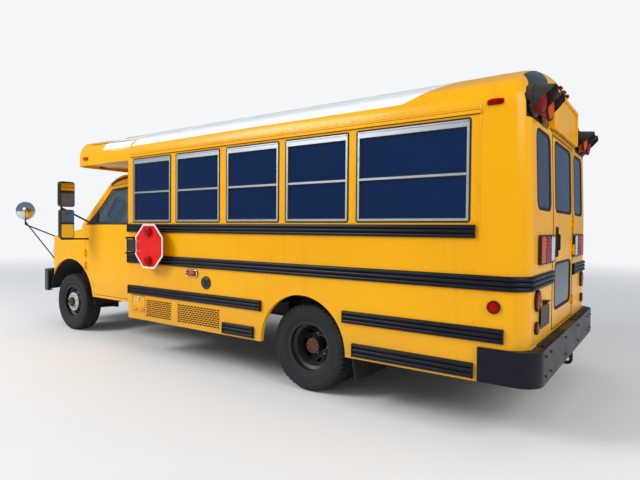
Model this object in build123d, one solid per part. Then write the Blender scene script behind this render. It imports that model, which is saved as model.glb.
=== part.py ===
from build123d import *
from math import radians, sqrt, tan
import os

os.makedirs("parts", exist_ok=True)

# Short school bus on a van cab, in millimetres. While it is drawn, X runs forward from the rear axle,
# Y runs to the driver's side and Z runs up from the ground. Each piece is saved about the bus's middle.

# Driving sizes of the running gear
wheelbase = 4039.0
tyre_radius = 372.0
tyre_width = 223.0
rim_flange_radius = 220.0
rim_width = 178.0
bead_seat_radius = 206.0
front_wheel_y = 873.0
rear_outer_y = 1012.0
twin_spacing = 252.0
steer_axis_y = 770.0
upright_radius = 34.0
hub_radius = 64.0

# Driving sizes of the body
body_half = 1219.0
wall = 40.0
skirt_z = 380.0
eave_z = 2137.0
crown_z = 2620.0
roof_radius = 2500.0
shoulder_radius = 220.0
body_front_x = wheelbase - 1639.0
cap_seam_x = -1470.0
rear_face_x = -1770.0
rear_corner_radius = 140.0
floor_top_z = 740.0
floor_thickness = 36.0
front_wall_thickness = 40.0
rear_arch_radius = 440.0
rear_arch_z = 385.0

# Driving sizes of the cab and nose
cab_half = body_half - 219.0
cab_wall = 36.0
rocker_z = 490.0
belt_z = 1400.0
cab_roof_z = 2035.0
cab_roof_half = cab_half - 150.0
cowl_x = wheelbase - 299.0
header_x = wheelbase - 759.0
header_z = 1930.0
roof_drop_x = header_x - 180.0
nose_x = wheelbase + 791.0
nose_low_z = 640.0
hood_front_x = nose_x - 130.0
hood_front_z = 1215.0
hood_half = cab_half - 220.0
front_arch_radius = 550.0
front_arch_z = 400.0
door_front_x = wheelbase - 384.0
door_back_x = body_front_x + 70.0
door_low_z = 520.0
door_gap = 6.0
door_back_gap = 13.0
visor_x = wheelbase - 519.0
visor_low_z = 2110.0
visor_corner_radius = 620.0
visor_nose_radius = 240.0
visor_drop = 40.0
visor_lip = 30.0
portal_front_x = visor_x + 40.0
portal_half = body_half - 69.0

# Where two outlines would share a face, one stands this much outside the other
outline_lead = 1.5

# Driving sizes of the bumpers and the whole bus
front_bumper_x = nose_x + 90.0
rear_bumper_x = -1850.0
bumper_plate = 12.0
front_bumper_low_z = 480.0
front_bumper_high_z = 770.0
rear_bumper_low_z = 385.0
rear_bumper_high_z = 612.0
warning_face_x = -1765.0
hood_length = 120.0
middle_x = (front_bumper_x + warning_face_x - hood_length) / 2

# Side windows from the rear cap's seam forward, and the posts behind, between and ahead of them, which share
# out whatever length the windows leave
window_widths = [857.0, 605.0, 614.0, 612.0, 620.0]
post_widths = [75.0, 91.0, 91.0, 106.0, 99.0, 100.0]
post_scale = (body_front_x - cap_seam_x - sum(window_widths)) / sum(post_widths)
window_rows = []
back = cap_seam_x
for post_width, window_width in zip(post_widths, window_widths):
    back += post_width * post_scale
    window_rows.append((back, back + window_width))
    back += window_width
window_low_z = 1437.0
window_high_z = 2106.0
frame_face = 16.0
frame_header = 46.0
frame_proud = 4.0
side_glass_inset = 20.0
glass_thickness = 6.0

# Straight rub rails on each side, as (low edge, high edge, back end, front end)
rail_rows = [
    (1322.0, 1411.0, cap_seam_x + 30, body_front_x - 5),
    (647.0, 742.0, rear_arch_radius - 5, body_front_x - 20),
    (647.0, 742.0, cap_seam_x - 160, 19 - rear_arch_radius),
    (396.0, 499.0, rear_arch_radius + 81, body_front_x - 1498),
    (396.0, 499.0, cap_seam_x + 32, -rear_arch_radius - 72),
]
belt_rail_low_z = 984.0
belt_rail_high_z = 1082.0
rail_depth = 22.0
rail_valley = 9.0
rail_ribs = 3
rail_wrap_end_y = 455.0

# Rear door and the rear windows
rear_door_half = 430.0
rear_door_free_gap = 13.0
rear_door_low_z = 640.0
rear_door_high_z = 2085.0
rear_window_low_z = 1530.0
rear_window_high_z = 2050.0
rear_window_inner_y = rear_door_half + 100.0
rear_window_outer_y = body_half - 269.0
rear_pane_half = 340.0
rear_pane_radius = 50.0
lower_pane_low_z = 780.0
lower_pane_high_z = 1120.0

# Chassis frame
frame_rail_y = 430.0
frame_rail_low_z = 500.0
frame_rail_high_z = 660.0
frame_rail_wall = 8.0
frame_rail_flange = 70.0


def save(shape, name):
    export_step(Pos(-middle_x, 0, 0) * shape, "parts/" + name + ".step")


def outline(points):
    """Closed flat outline from rows of (first, second, corner radius)."""
    face = make_face(Polyline(*[(u, v) for u, v, _ in points], close=True)).face()
    for u, v, radius in points:
        if radius > 0:
            corner = face.vertices().sort_by_distance(Vector(u, v, 0))[0]
            face = face.fillet_2d(radius, [corner])
    return Sketch() + face


def mirrored(points):
    """Adds the other half of an outline whose rows start on the +first side."""
    return points + [(-u, v, radius) for u, v, radius in reversed(points) if u > 0]


def across(sketch, y_right, y_left):
    """A side view's outline, X by Z, as a solid from one Y to another."""
    return extrude(Plane.XZ.offset(-y_left) * sketch, amount=y_left - y_right)


def lengthways(sketch, x_back, x_front):
    """A cross-section, Y by Z, as a solid from one X to another."""
    return extrude(Plane.YZ.offset(x_back) * sketch, amount=x_front - x_back)


def upwards(sketch, z_low, z_high):
    """A plan, X by Y, as a solid from one height to another."""
    return extrude(Plane.XY.offset(z_low) * sketch, amount=z_high - z_low)


def block(x_back, x_front, y_right, y_left, z_low, z_high):
    centre = ((x_back + x_front) / 2, (y_right + y_left) / 2, (z_low + z_high) / 2)
    return Pos(*centre) * Box(x_front - x_back, y_left - y_right, z_high - z_low)


def rod(x, z, radius, y_right, y_left):
    """A round bar along Y."""
    return Pos(x, (y_right + y_left) / 2, z) * Rot(90, 0, 0) * Cylinder(radius, y_left - y_right)


def bar(x_back, x_front, y, z, radius):
    """A round bar along X."""
    return Pos((x_back + x_front) / 2, y, z) * Rot(0, 90, 0) * Cylinder(radius, x_front - x_back)


def post(x, y, z_low, z_high, radius):
    """A round bar along Z."""
    return Pos(x, y, (z_low + z_high) / 2) * Cylinder(radius, z_high - z_low)


pin_radius = 5.0
pin_clearance = 0.1
barrel_radius = 9.0
barrel_offset = 12.0
hinge_length = 90.0


def barrel_hinge(axis, centre, fixed_tab, moving_tab):
    """Fixed and moving halves of a hinge whose pin lies along axis 0, 1 or 2. A tab is its two spans
    across the pin, in X, Y, Z order."""
    x, y, z = centre

    def round_piece(radius, low, high):
        if axis == 0:
            return bar(x + low, x + high, y, z, radius)
        if axis == 1:
            return rod(x, z, radius, y + low, y + high)
        return post(x, y, z + low, z + high, radius)

    def tab_piece(spans, low, high):
        pairs = list(spans)
        pairs.insert(axis, (centre[axis] + low, centre[axis] + high))
        return block(*pairs[0], *pairs[1], *pairs[2])

    half = hinge_length / 2
    sleeve = hinge_length / 6
    fixed = round_piece(pin_radius, -half, half)
    for low, high in ((-half, -sleeve), (sleeve, half)):
        fixed += round_piece(barrel_radius, low, high) + tab_piece(fixed_tab, low, high)
    moving = round_piece(barrel_radius, 0.3 - sleeve, sleeve - 0.3)
    moving += tab_piece(moving_tab, 0.3 - sleeve, sleeve - 0.3)
    return fixed, moving - round_piece(pin_radius + pin_clearance, -half, half)


def other_side(shape):
    return mirror(shape, about=Plane.XZ)


def both_sides(shape):
    return Compound(children=list(shape.solids()) + list(other_side(shape).solids()))


def turned(points, x, y, z):
    """A ring or disc about the Y axis, from rows of (place along Y, radius, corner radius)."""
    profile = Plane.XY * outline([(radius, place, corner) for place, radius, corner in points])
    return Pos(x, y, z) * revolve(profile, Axis.Y)


# Body section: upright walls under a shallow arched roof
def body_section(inset, z_low):
    half = body_half - inset
    radius = roof_radius - inset
    crown = crown_z - inset
    edge_z = crown - radius + sqrt(radius**2 - half**2)
    arch = ThreePointArc((half, edge_z), (0, crown), (-half, edge_z))
    sides = Polyline((-half, edge_z), (-half, z_low), (half, z_low), (half, edge_z))
    face = make_face([arch.edge()] + list(sides.edges())).face()
    corners = face.vertices().filter_by(lambda v: v.Z > -1 and v.Y > edge_z - 1)
    return Sketch() + face.fillet_2d(shoulder_radius - inset, corners)


body_inner_half = body_half - wall
shell_front_x = body_front_x - front_wall_thickness
tube = lengthways(body_section(0, skirt_z), cap_seam_x, shell_front_x)
tube -= lengthways(body_section(wall, skirt_z - wall), cap_seam_x - 1, shell_front_x + 1)

# Roof, with the drip rail that runs along each eave
drip_rail_depth = 14.0
drip_rail_height = 22.0
drip_rail = block(cap_seam_x, shell_front_x, body_half, body_half + drip_rail_depth,
                  eave_z, eave_z + drip_rail_height)
roof = tube & block(cap_seam_x, shell_front_x, -body_half, body_half, eave_z, crown_z)
roof = roof + drip_rail + other_side(drip_rail)
save(roof, "roof")

# Side walls, with the windows and the rear wheel arch cut out
side_wall = tube & block(cap_seam_x, shell_front_x, 0, body_half, skirt_z, eave_z)
for back, front in window_rows:
    side_wall -= block(back, front, body_inner_half - 1, body_half + 1, window_low_z, window_high_z)
side_wall -= rod(0, rear_arch_z, rear_arch_radius, body_inner_half - 1, body_half + 1)
save(other_side(side_wall), "wall_right")

# Small drop-down door in the left skirt, hinged along its lower edge
lid_back_x = body_front_x - 300
lid_front_x = body_front_x - 70
lid_low_z = 485.0
lid_high_z = 640.0
lid_thickness = 20.0
lid_latch_radius = 16.0
lid_latch_proud = 8.0
tab_reach = 34.0
tab_bite = 3.0
tab_proud = 5.0
lid_hole = block(lid_back_x, lid_front_x, body_inner_half - 1, body_half + 1, lid_low_z, lid_high_z)
skirt_lid = block(lid_back_x + door_gap, lid_front_x - door_gap, body_half - lid_thickness, body_half,
                  lid_low_z + door_gap, lid_high_z - door_gap)
skirt_lid += rod((lid_back_x + lid_front_x) / 2, lid_high_z - 40, lid_latch_radius, body_half,
                 body_half + lid_latch_proud)
lid_hinges = []
for hinge_x in (lid_back_x + 55, lid_front_x - 55):
    axis_y = body_half + barrel_offset
    axis_z = lid_low_z + door_gap / 2
    fixed_half, moving_half = barrel_hinge(
        0, (hinge_x, axis_y, axis_z),
        ((body_half - tab_bite, body_half + tab_proud), (axis_z - tab_reach, axis_z)),
        ((body_half - tab_bite, body_half + tab_proud), (axis_z, axis_z + tab_reach)))
    lid_hinges.append(fixed_half)
    skirt_lid += moving_half
save(skirt_lid, "skirt_door")

# Pressed grilles in the left skirt, as (back edge, front edge)
grille_rows = [
    (body_front_x - 1451, body_front_x - 829),
    (body_front_x - 741, body_front_x - 313),
]
skirt_grille_low_z = 415.0
skirt_grille_high_z = 615.0
slot_pitch_x = 44.0
slot_pitch_z = 18.0
slot_length = 34.0
slot_height = 8.0
grille_rim = 14.0
grille_plate = 6.0
skirt_grilles = []
left_wall = side_wall - lid_hole
for back, front in grille_rows:
    left_wall -= block(back, front, body_inner_half - 1, body_half + 1,
                       skirt_grille_low_z, skirt_grille_high_z)
    plate = block(back, front, body_half - grille_plate, body_half, skirt_grille_low_z, skirt_grille_high_z)
    columns = int((front - back - 2 * grille_rim) / slot_pitch_x)
    rows = int((skirt_grille_high_z - skirt_grille_low_z - 2 * grille_rim) / slot_pitch_z)
    slot = Box(slot_length, 4 * grille_plate, slot_height)
    slots = GridLocations(slot_pitch_x, slot_pitch_z, columns, rows)
    middle = Vector((back + front) / 2, body_half, (skirt_grille_low_z + skirt_grille_high_z) / 2)
    cutters = [Pos(middle.X + loc.position.X, middle.Y, middle.Z + loc.position.Y) * slot for loc in slots]
    skirt_grilles.append(plate - cutters)
for fixed_half in lid_hinges:
    left_wall += fixed_half
save(left_wall, "wall_left")
save(Compound(children=[grille.solid() for grille in skirt_grilles]), "skirt_grilles")

# Window frames: an aluminium ring, a deep header and a bar at half height
window_frames = []
side_panes = []
for back, front in window_rows:
    ring = block(back, front, body_inner_half, body_half + frame_proud, window_low_z, window_high_z)
    middle_z = (window_low_z + window_high_z - frame_header) / 2
    pane_bands = [
        (window_low_z + frame_face, middle_z - frame_face / 2),
        (middle_z + frame_face / 2, window_high_z - frame_header),
    ]
    for low, high in pane_bands:
        ring -= block(back + frame_face, front - frame_face, body_inner_half - 1, body_half + 5, low, high)
        side_panes.append(block(back + frame_face, front - frame_face, body_half - side_glass_inset,
                                body_half - side_glass_inset + glass_thickness, low, high))
    window_frames.append(ring)
window_frames = Compound(children=[ring.solid() for ring in window_frames])
save(both_sides(window_frames), "window_frames")

# Rear cap: a face that leans in above the rail, rounded off all the way round into the walls and the roof
cap_lean_z = 1500.0
cap_lean_radius = 900.0
cap_top_x = -1735.0
cap_rise = 6.0


def cap_solid(inset, z_low):
    back = rear_face_x + inset
    side_view = outline([
        (cap_seam_x, z_low, 0),
        (back, z_low, 0),
        (back, cap_lean_z, cap_lean_radius),
        (cap_top_x + inset, crown_z + cap_rise, 0),
        (cap_seam_x, crown_z + cap_rise, 0),
    ])
    section = body_section(inset, z_low - outline_lead)
    shape = lengthways(section, back - outline_lead, cap_seam_x + outline_lead)
    shape = (shape & across(side_view, -body_half, body_half)).solid()
    rim = [edge for edge in shape.edges()
           if edge.bounding_box().max.X < cap_seam_x - wall
           and (edge.center().Z > eave_z or abs(edge.center().Y) > rear_corner_radius)]
    return fillet(rim, rear_corner_radius - inset)


cap_low_z = rear_bumper_high_z
cap_outer = cap_solid(0, cap_low_z)
cap_layer = cap_outer - cap_solid(wall, cap_low_z - wall)
rear_door_zone = block(rear_face_x - 1, cap_seam_x - wall, -rear_door_half, rear_door_half,
                       rear_door_low_z, rear_door_high_z)
rear_cap = cap_layer - rear_door_zone
rear_glass_inset = 16.0
rear_window_radius = 60.0
pane_layer = cap_solid(rear_glass_inset, cap_low_z - wall)
pane_layer -= cap_solid(rear_glass_inset + glass_thickness, cap_low_z - 2 * wall)
rear_panes = []
for side in (1, -1):
    edges = sorted((side * rear_window_inner_y, side * rear_window_outer_y))
    zone = outline([
        (edges[0], rear_window_low_z, rear_window_radius),
        (edges[1], rear_window_low_z, rear_window_radius),
        (edges[1], rear_window_high_z, rear_window_radius),
        (edges[0], rear_window_high_z, rear_window_radius),
    ])
    hole = lengthways(zone, rear_face_x - 1, cap_seam_x - wall)
    rear_cap -= hole
    rear_panes.append((pane_layer & hole).solid())
save(Compound(children=side_panes + list(other_side(Compound(children=side_panes)).solids()) + rear_panes),
     "body_glass")

# Emergency door in the rear face, hinged on its right edge, with an upper and a lower pane
door_zone = block(rear_face_x - 1, cap_seam_x - wall,
                  -rear_door_half + door_gap, rear_door_half - rear_door_free_gap,
                  rear_door_low_z + door_gap, rear_door_high_z - door_gap)
rear_door = cap_layer & door_zone
rear_door_panes = []
for low, high in ((lower_pane_low_z, lower_pane_high_z), (rear_window_low_z, rear_window_high_z)):
    zone = outline([
        (-rear_pane_half, low, rear_pane_radius),
        (rear_pane_half, low, rear_pane_radius),
        (rear_pane_half, high, rear_pane_radius),
        (-rear_pane_half, high, rear_pane_radius),
    ])
    hole = lengthways(zone, rear_face_x - 1, cap_seam_x - wall)
    rear_door -= hole
    rear_door_panes.append((pane_layer & hole).solid())
rear_axis_x = rear_face_x - barrel_offset
rear_axis_y = -rear_door_half + door_gap / 2
for hinge_z in (770, 1210, 1430):
    fixed_half, moving_half = barrel_hinge(
        2, (rear_axis_x, rear_axis_y, hinge_z),
        ((rear_face_x - 5, rear_face_x + 3), (rear_axis_y - 19, rear_axis_y)),
        ((rear_face_x - 5, rear_face_x + 3), (rear_axis_y, rear_axis_y + 38)))
    rear_cap += fixed_half
    rear_door += moving_half
save(rear_cap, "rear_cap")
save(rear_door, "emergency_door")
save(Compound(children=rear_door_panes), "emergency_door_glass")

# Front wall of the body, open to the cab
cab_opening_half = cab_half - 180
cab_opening_high_z = 1960.0
step_edge_y = 300 - cab_half
front_wall = lengthways(body_section(0, skirt_z), shell_front_x, body_front_x)
front_wall -= block(shell_front_x - 1, body_front_x + 1, step_edge_y, cab_opening_half, skirt_z - 1,
                    cab_opening_high_z)
save(front_wall, "front_wall")


# Front cap: a full-width visor over the cab, rounded in plan and along its nose
def visor_solid(inset, z_low):
    front = visor_x - inset
    side_view = outline([
        (body_front_x, z_low, 0),
        (front, z_low, 0),
        (front, crown_z - visor_drop - inset, visor_nose_radius - inset),
        (body_front_x, crown_z + cap_rise - inset, 0),
    ])
    plan = outline([
        (body_front_x, -body_half + inset, 0),
        (front, -body_half + inset, visor_corner_radius - inset),
        (front, body_half - inset, visor_corner_radius - inset),
        (body_front_x, body_half - inset, 0),
    ])
    half = body_half - inset
    shape = lengthways(body_section(inset, skirt_z), body_front_x, front)
    shape = shape & across(side_view, -half, half)
    return shape & upwards(plan, z_low, crown_z)


visor_skin = 25.0
front_cap = visor_solid(0, visor_low_z) - visor_solid(visor_skin, visor_low_z + visor_lip + visor_skin)
front_cap -= visor_solid(visor_skin, visor_low_z - 1) & block(
    body_front_x + visor_skin, visor_x, -body_half, body_half, visor_low_z - 1, visor_low_z + visor_lip)
save(front_cap, "front_cap")


# Cab: a tapered upper part and a nose, drawn as one outer form and split where the panels meet
def cab_solid(inset, z_drop):
    half = cab_half - inset
    upper_side = outline([
        (body_front_x, rocker_z - z_drop, 0),
        (cowl_x - inset, rocker_z - z_drop, 0),
        (cowl_x - inset, belt_z, 0),
        (header_x - inset, header_z - inset / 2, 60),
        (roof_drop_x, cab_roof_z - inset, 300),
        (body_front_x, cab_roof_z - inset, 0),
    ])
    upper_section = outline(mirrored([
        (half, rocker_z - z_drop, 0),
        (half, belt_z, 400),
        (cab_roof_half - inset, cab_roof_z + outline_lead - inset, 110 - inset),
    ]))
    upper = across(upper_side, -half, half)
    upper = upper & lengthways(upper_section, body_front_x, cowl_x)
    nose_side = outline([
        (roof_drop_x, rocker_z - z_drop, 0),
        (wheelbase - 39, rocker_z - z_drop, 0),
        (nose_x - inset, nose_low_z - z_drop, 0),
        (nose_x - inset, 1130, 0),
        (hood_front_x - inset, hood_front_z - inset, 60),
        (cowl_x, belt_z - inset, 0),
        (roof_drop_x, belt_z - inset, 0),
    ])
    nose_plan = outline([
        (roof_drop_x, -half, 0),
        (nose_x - 350, -half, 300),
        (nose_x - 70 - inset, 200 - cab_half, 150),
        (nose_x - inset, -500, 100),
        (nose_x - inset, 500, 100),
        (nose_x - 70 - inset, cab_half - 200, 150),
        (nose_x - 350, half, 300),
        (roof_drop_x, half, 0),
    ])
    nose_section = outline(mirrored([
        (half, rocker_z - z_drop, 0),
        (half, 1150, 150),
        (hood_half + 90 - inset, belt_z - 60 - inset, 160),
        (500, belt_z - inset, 400),
    ]))
    nose = across(nose_side, -half, half) & upwards(nose_plan, rocker_z - z_drop, belt_z)
    nose = nose & lengthways(nose_section, roof_drop_x, nose_x)
    return upper + nose


cab_outer = cab_solid(0, 0)
cab_layer = cab_outer - cab_solid(cab_wall, 60)
cab_pane_layer = cab_solid(12, 20) - cab_solid(12 + glass_thickness, 40)
arch_hole = rod(wheelbase, front_arch_z, front_arch_radius, -cab_half - 5, cab_half + 5)
cab_layer -= arch_hole

windscreen_zone = across(outline([
    (header_x + 12, header_z - 58, 0),
    (cowl_x - 30, belt_z + 36, 0),
    (cowl_x + 40, belt_z + 36, 0),
    (header_x + 82, header_z - 58, 0),
]), -cab_half, cab_half)
windscreen_zone = windscreen_zone & lengthways(outline([
    (140 - cab_half, belt_z, 60),
    (cab_half - 140, belt_z, 60),
    (cab_roof_half - 105, header_z, 60),
    (105 - cab_roof_half, header_z, 60),
]), header_x - 50, cowl_x + 50)
save(cab_layer & windscreen_zone, "windscreen")

# Driver's door: its front edge keeps clear of the wheel arch
door_zone = outline([
    (door_back_x, door_low_z, 60),
    (door_front_x, door_low_z, 0),
    (door_front_x, belt_z + 6, 0),
    (header_x - 30, header_z - 40, 60),
    (door_back_x, cab_roof_z - 90, 60),
])
door_cut = across(door_zone, cab_roof_half - 160, cab_half + 1)
door_cut -= rod(wheelbase, front_arch_z, front_arch_radius + 45, 0, cab_half + 5)
door_body_zone = outline([
    (door_back_x + door_back_gap, door_low_z + door_gap, 60),
    (door_front_x - door_gap, door_low_z + door_gap, 0),
    (door_front_x - door_gap, belt_z + 2, 0),
    (header_x - 34, header_z - 48, 60),
    (door_back_x + door_back_gap, cab_roof_z - 90 - door_gap, 60),
])
door_body = across(door_body_zone, cab_roof_half - 160, cab_half + 1)
door_body -= rod(wheelbase, front_arch_z, front_arch_radius + 45 + door_gap, 0, cab_half + 5)
door_window_zone = across(outline([
    (door_back_x + 75, belt_z + 28, 30),
    (door_front_x - 110, belt_z + 28, 20),
    (header_x - 76, header_z - 108, 60),
    (door_back_x + 75, cab_roof_z - 165, 40),
]), cab_roof_half - 160, cab_half + 1)
driver_door = (cab_layer & door_body) - door_window_zone
door_axis_x = door_front_x - door_gap / 2
door_axis_y = cab_half + barrel_offset
door_hinges = []
for hinge_z in (880, 1040):
    fixed_half, moving_half = barrel_hinge(
        2, (door_axis_x, door_axis_y, hinge_z),
        ((door_axis_x, door_axis_x + 40), (cab_half - 3, cab_half + 5)),
        ((door_axis_x - 40, door_axis_x), (cab_half - 3, cab_half + 5)))
    door_hinges.append(fixed_half)
    driver_door += moving_half
save(driver_door, "driver_door")
save(cab_pane_layer & door_window_zone, "driver_door_glass")

# Hood: the middle of the nose's top, cut free by a gap all round
hood_back_x = cowl_x + 40
hood_cut = block(hood_back_x, nose_x, -hood_half, hood_half, hood_front_z - 75, belt_z)
hood_zone = block(hood_back_x + 8, nose_x, -hood_half + door_gap, hood_half - door_gap,
                  hood_front_z - 75 + door_gap, belt_z)
hood = cab_layer & hood_zone
hood_axis_x = hood_back_x + 4
hood_skin_z = belt_z - (belt_z - hood_front_z) * (hood_axis_x - cowl_x) / (hood_front_x - cowl_x)
hood_axis_z = hood_skin_z + barrel_offset
hood_hinges = []
for hinge_y in (-400, 400):
    fixed_half, moving_half = barrel_hinge(
        1, (hood_axis_x, hinge_y, hood_axis_z),
        ((hood_axis_x - 36, hood_axis_x), (hood_skin_z - 6, hood_skin_z + 5)),
        ((hood_axis_x, hood_axis_x + 40), (hood_skin_z - 12, hood_skin_z + 5)))
    hood_hinges.append(fixed_half)
    hood += moving_half
save(hood, "hood")

# Entrance portal: upright outer wall with a doorway, a front return and a top plate
portal_inner = portal_half - wall
doorway_back_x = body_front_x + 160
doorway_front_x = portal_front_x - 140
doorway_low_z = 440.0
doorway_high_z = 1985.0
portal_low_z = 400.0
portal = block(body_front_x, portal_front_x, -portal_half, -portal_inner, portal_low_z, visor_low_z)
portal -= block(doorway_back_x, doorway_front_x, -portal_half - 1, -portal_inner + 1,
                doorway_low_z, doorway_high_z)
portal += block(portal_front_x - wall, portal_front_x, -portal_inner, -cab_half, rocker_z + 60, visor_low_z)
portal += block(body_front_x, portal_front_x - wall, -portal_inner, -cab_roof_half + 40,
                cab_roof_z + 5, visor_low_z)
portal -= rod(wheelbase, front_arch_z, front_arch_radius + 20, -portal_half - 1, 0)

# Entrance door: two leaves, each hung on its own side of the doorway
leaf_thickness = 34.0
leaf_gap = 6.0
leaf_middle_gap = 12.0
leaf_frame = 70.0
leaf_middle_x = (doorway_back_x + doorway_front_x) / 2
leaf_low_z = doorway_low_z + leaf_gap
leaf_high_z = doorway_high_z - leaf_gap
leaf_rows = [
    ("rear", doorway_back_x + leaf_gap, leaf_middle_x - leaf_middle_gap / 2),
    ("front", leaf_middle_x + leaf_middle_gap / 2, doorway_front_x - leaf_gap),
]
for name, back, front in leaf_rows:
    leaf = block(back, front, -portal_half, -portal_half + leaf_thickness, leaf_low_z, leaf_high_z)
    pane_bands = [
        (leaf_low_z + leaf_frame, leaf_low_z + 620),
        (leaf_low_z + 620 + leaf_frame, leaf_high_z - leaf_frame),
    ]
    panes = []
    for low, high in pane_bands:
        zone = outline([
            (back + leaf_frame, low, 30),
            (front - leaf_frame, low, 30),
            (front - leaf_frame, high, 30),
            (back + leaf_frame, high, 30),
        ])
        leaf -= across(zone, -portal_half - 1, -portal_inner)
        pane_y = -portal_half + leaf_thickness / 2
        panes.append(across(zone, pane_y, pane_y + glass_thickness).solid())
    edge_x, way = (back - leaf_gap / 2, -1) if name == "rear" else (front + leaf_gap / 2, 1)
    for hinge_z in (600, 1210, 1830):
        fixed_half, moving_half = barrel_hinge(
            2, (edge_x, -portal_half - barrel_offset, hinge_z),
            (sorted((edge_x, edge_x + way * 34)), (-portal_half - 5, -portal_half + 3)),
            (sorted((edge_x - way * 34, edge_x)), (-portal_half - 5, -portal_half + 3)))
        portal += fixed_half
        leaf += moving_half
    save(leaf, "entrance_leaf_" + name)
    save(Compound(children=panes), "entrance_glass_" + name)

save(portal, "entrance_portal")

# Cab shell and fenders: what is left of the cab form
split_x = door_front_x
cab_right_cut = block(doorway_back_x - 60, portal_front_x - 40, -cab_half - 1, -cab_roof_half + 160,
                      rocker_z - 1, cab_roof_z - 90)
cab_shell = cab_layer - door_cut - windscreen_zone - hood_cut - cab_right_cut
fender_zone = block(split_x, nose_x, -cab_half - 1, cab_half + 1, rocker_z - 1, belt_z - 30)
fender_zone += block(split_x - 255, split_x, -cab_half - 1, cab_half + 1, rocker_z - 1, 1100)
fenders = cab_shell & fender_zone
cab_shell = cab_shell - fender_zone
grille_half = hood_half - 220
grille_low_z = 800.0
grille_high_z = 1120.0
lamp_half_width = 130.0
lamp_margin = 20.0
lamp_y = grille_half + 155
fenders -= block(hood_front_x, nose_x + 1, -grille_half, grille_half, grille_low_z, grille_high_z)
for side in (1, -1):
    fenders -= block(hood_front_x - 100, nose_x + 1,
                     side * lamp_y - lamp_half_width, side * lamp_y + lamp_half_width,
                     grille_low_z + lamp_margin, grille_high_z - lamp_margin)
for fixed_half in hood_hinges:
    cab_shell += fixed_half
for fixed_half in door_hinges:
    fenders += fixed_half
save(cab_shell, "cab_shell")
save(fenders, "fenders")

# Grille: a frame with flat bars
grille_bar_pitch = 52.0
grille_border = 26.0
grille_bar_half = 9.0
grille_back_x = nose_x - 60
grille_front_x = nose_x - 15
grille = block(grille_back_x, grille_front_x, -grille_half, grille_half, grille_low_z, grille_high_z)
grille -= block(grille_back_x - 1, grille_front_x + 1,
                grille_border - grille_half, grille_half - grille_border,
                grille_low_z + grille_border, grille_high_z - grille_border)
bars_height = grille_high_z - grille_low_z - 2 * grille_border
bar_count = int(bars_height / grille_bar_pitch)
for index in range(1, bar_count + 1):
    bar_z = grille_low_z + grille_border + index * bars_height / (bar_count + 1)
    grille += block(grille_back_x + 5, grille_front_x - 5, -grille_half + 20, grille_half - 20,
                    bar_z - grille_bar_half, bar_z + grille_bar_half)
save(grille, "grille")


# Bumpers: pressed channels bent round the corners
def bumper_plan(inset, end_x, face_x, half, radius):
    return outline([
        (end_x, -half + inset, 0),
        (face_x, -half + inset, radius),
        (face_x, half - inset, radius),
        (end_x, half - inset, 0),
    ])


rear_half = body_half + 16
rear_bumper_radius = 150.0
rear_flange = 75.0
rear_flange_plate = 8.0
outer_plan = bumper_plan(0, cap_seam_x, rear_bumper_x, rear_half, rear_bumper_radius)
web_plan = outer_plan - bumper_plan(
    bumper_plate, cap_seam_x, rear_bumper_x + bumper_plate, rear_half, rear_bumper_radius - bumper_plate)
flange_plan = outer_plan - bumper_plan(
    rear_flange, cap_seam_x, rear_bumper_x + rear_flange, rear_half, rear_bumper_radius - rear_flange)
rear_bumper = upwards(web_plan, rear_bumper_low_z, rear_bumper_high_z)
rear_bumper += upwards(flange_plan, rear_bumper_high_z - rear_flange_plate, rear_bumper_high_z)
rear_bumper += upwards(flange_plan, rear_bumper_low_z, rear_bumper_low_z + rear_flange_plate)
hook_y = 0.0
hook_eye_radius = 22.0
hook_thickness = 24.0
hook_back_x = rear_bumper_x - 5
hook_front_x = rear_bumper_x + 85
hook_low_z = 290.0
hook_eye_z = hook_low_z + 45
hook_plate = across(outline([
    (hook_back_x, hook_low_z, 40),
    (hook_front_x, hook_low_z, 20),
    (hook_front_x, rear_bumper_low_z, 0),
    (hook_back_x, rear_bumper_low_z, 0),
]), hook_y - hook_thickness / 2, hook_y + hook_thickness / 2)
hook_plate -= rod((hook_back_x + hook_front_x) / 2, hook_eye_z, hook_eye_radius,
                  hook_y - hook_thickness, hook_y + hook_thickness)
save(rear_bumper + hook_plate, "rear_bumper")

front_half = cab_half
bumper_end_x = front_bumper_x - 280
bumper_plan_end_x = bumper_end_x - 220
front_bumper_radius = 260.0
front_flange = 70.0
front_flange_plate = 10.0
outer_plan = bumper_plan(0, bumper_plan_end_x, front_bumper_x, front_half, front_bumper_radius)
web_plan = outer_plan - bumper_plan(
    bumper_plate, bumper_plan_end_x, front_bumper_x - bumper_plate, front_half,
    front_bumper_radius - bumper_plate)
flange_plan = outer_plan - bumper_plan(
    front_flange, bumper_plan_end_x, front_bumper_x - front_flange, front_half,
    front_bumper_radius - front_flange)
front_bumper = upwards(web_plan, front_bumper_low_z, front_bumper_high_z)
front_bumper += upwards(flange_plan, front_bumper_high_z - front_flange_plate, front_bumper_high_z)
front_bumper += upwards(flange_plan, front_bumper_low_z, front_bumper_low_z + front_flange_plate)
front_bumper -= block(bumper_plan_end_x - 1, bumper_end_x, -front_half - 1, front_half + 1,
                      front_bumper_low_z - 1, front_bumper_high_z + 1)
save(front_bumper, "front_bumper")


# Rub rails: a strip with half-round ribs, pressed in one length
def rail_section(low, high):
    pitch = (high - low) / rail_ribs
    edges = list(Polyline((rail_valley, low), (0, low), (0, high), (rail_valley, high)).edges())
    for rib in range(rail_ribs):
        base = low + rib * pitch
        crest = (rail_depth, base + pitch / 2)
        edges.append(ThreePointArc((rail_valley, base), crest, (rail_valley, base + pitch)).edge())
    return make_face(edges)


rails = []
for low, high, back, front in rail_rows:
    rails.append(lengthways(Pos(body_half, 0) * rail_section(low, high), back, front).solid())
save(both_sides(Compound(children=rails)), "rub_rails")

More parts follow.
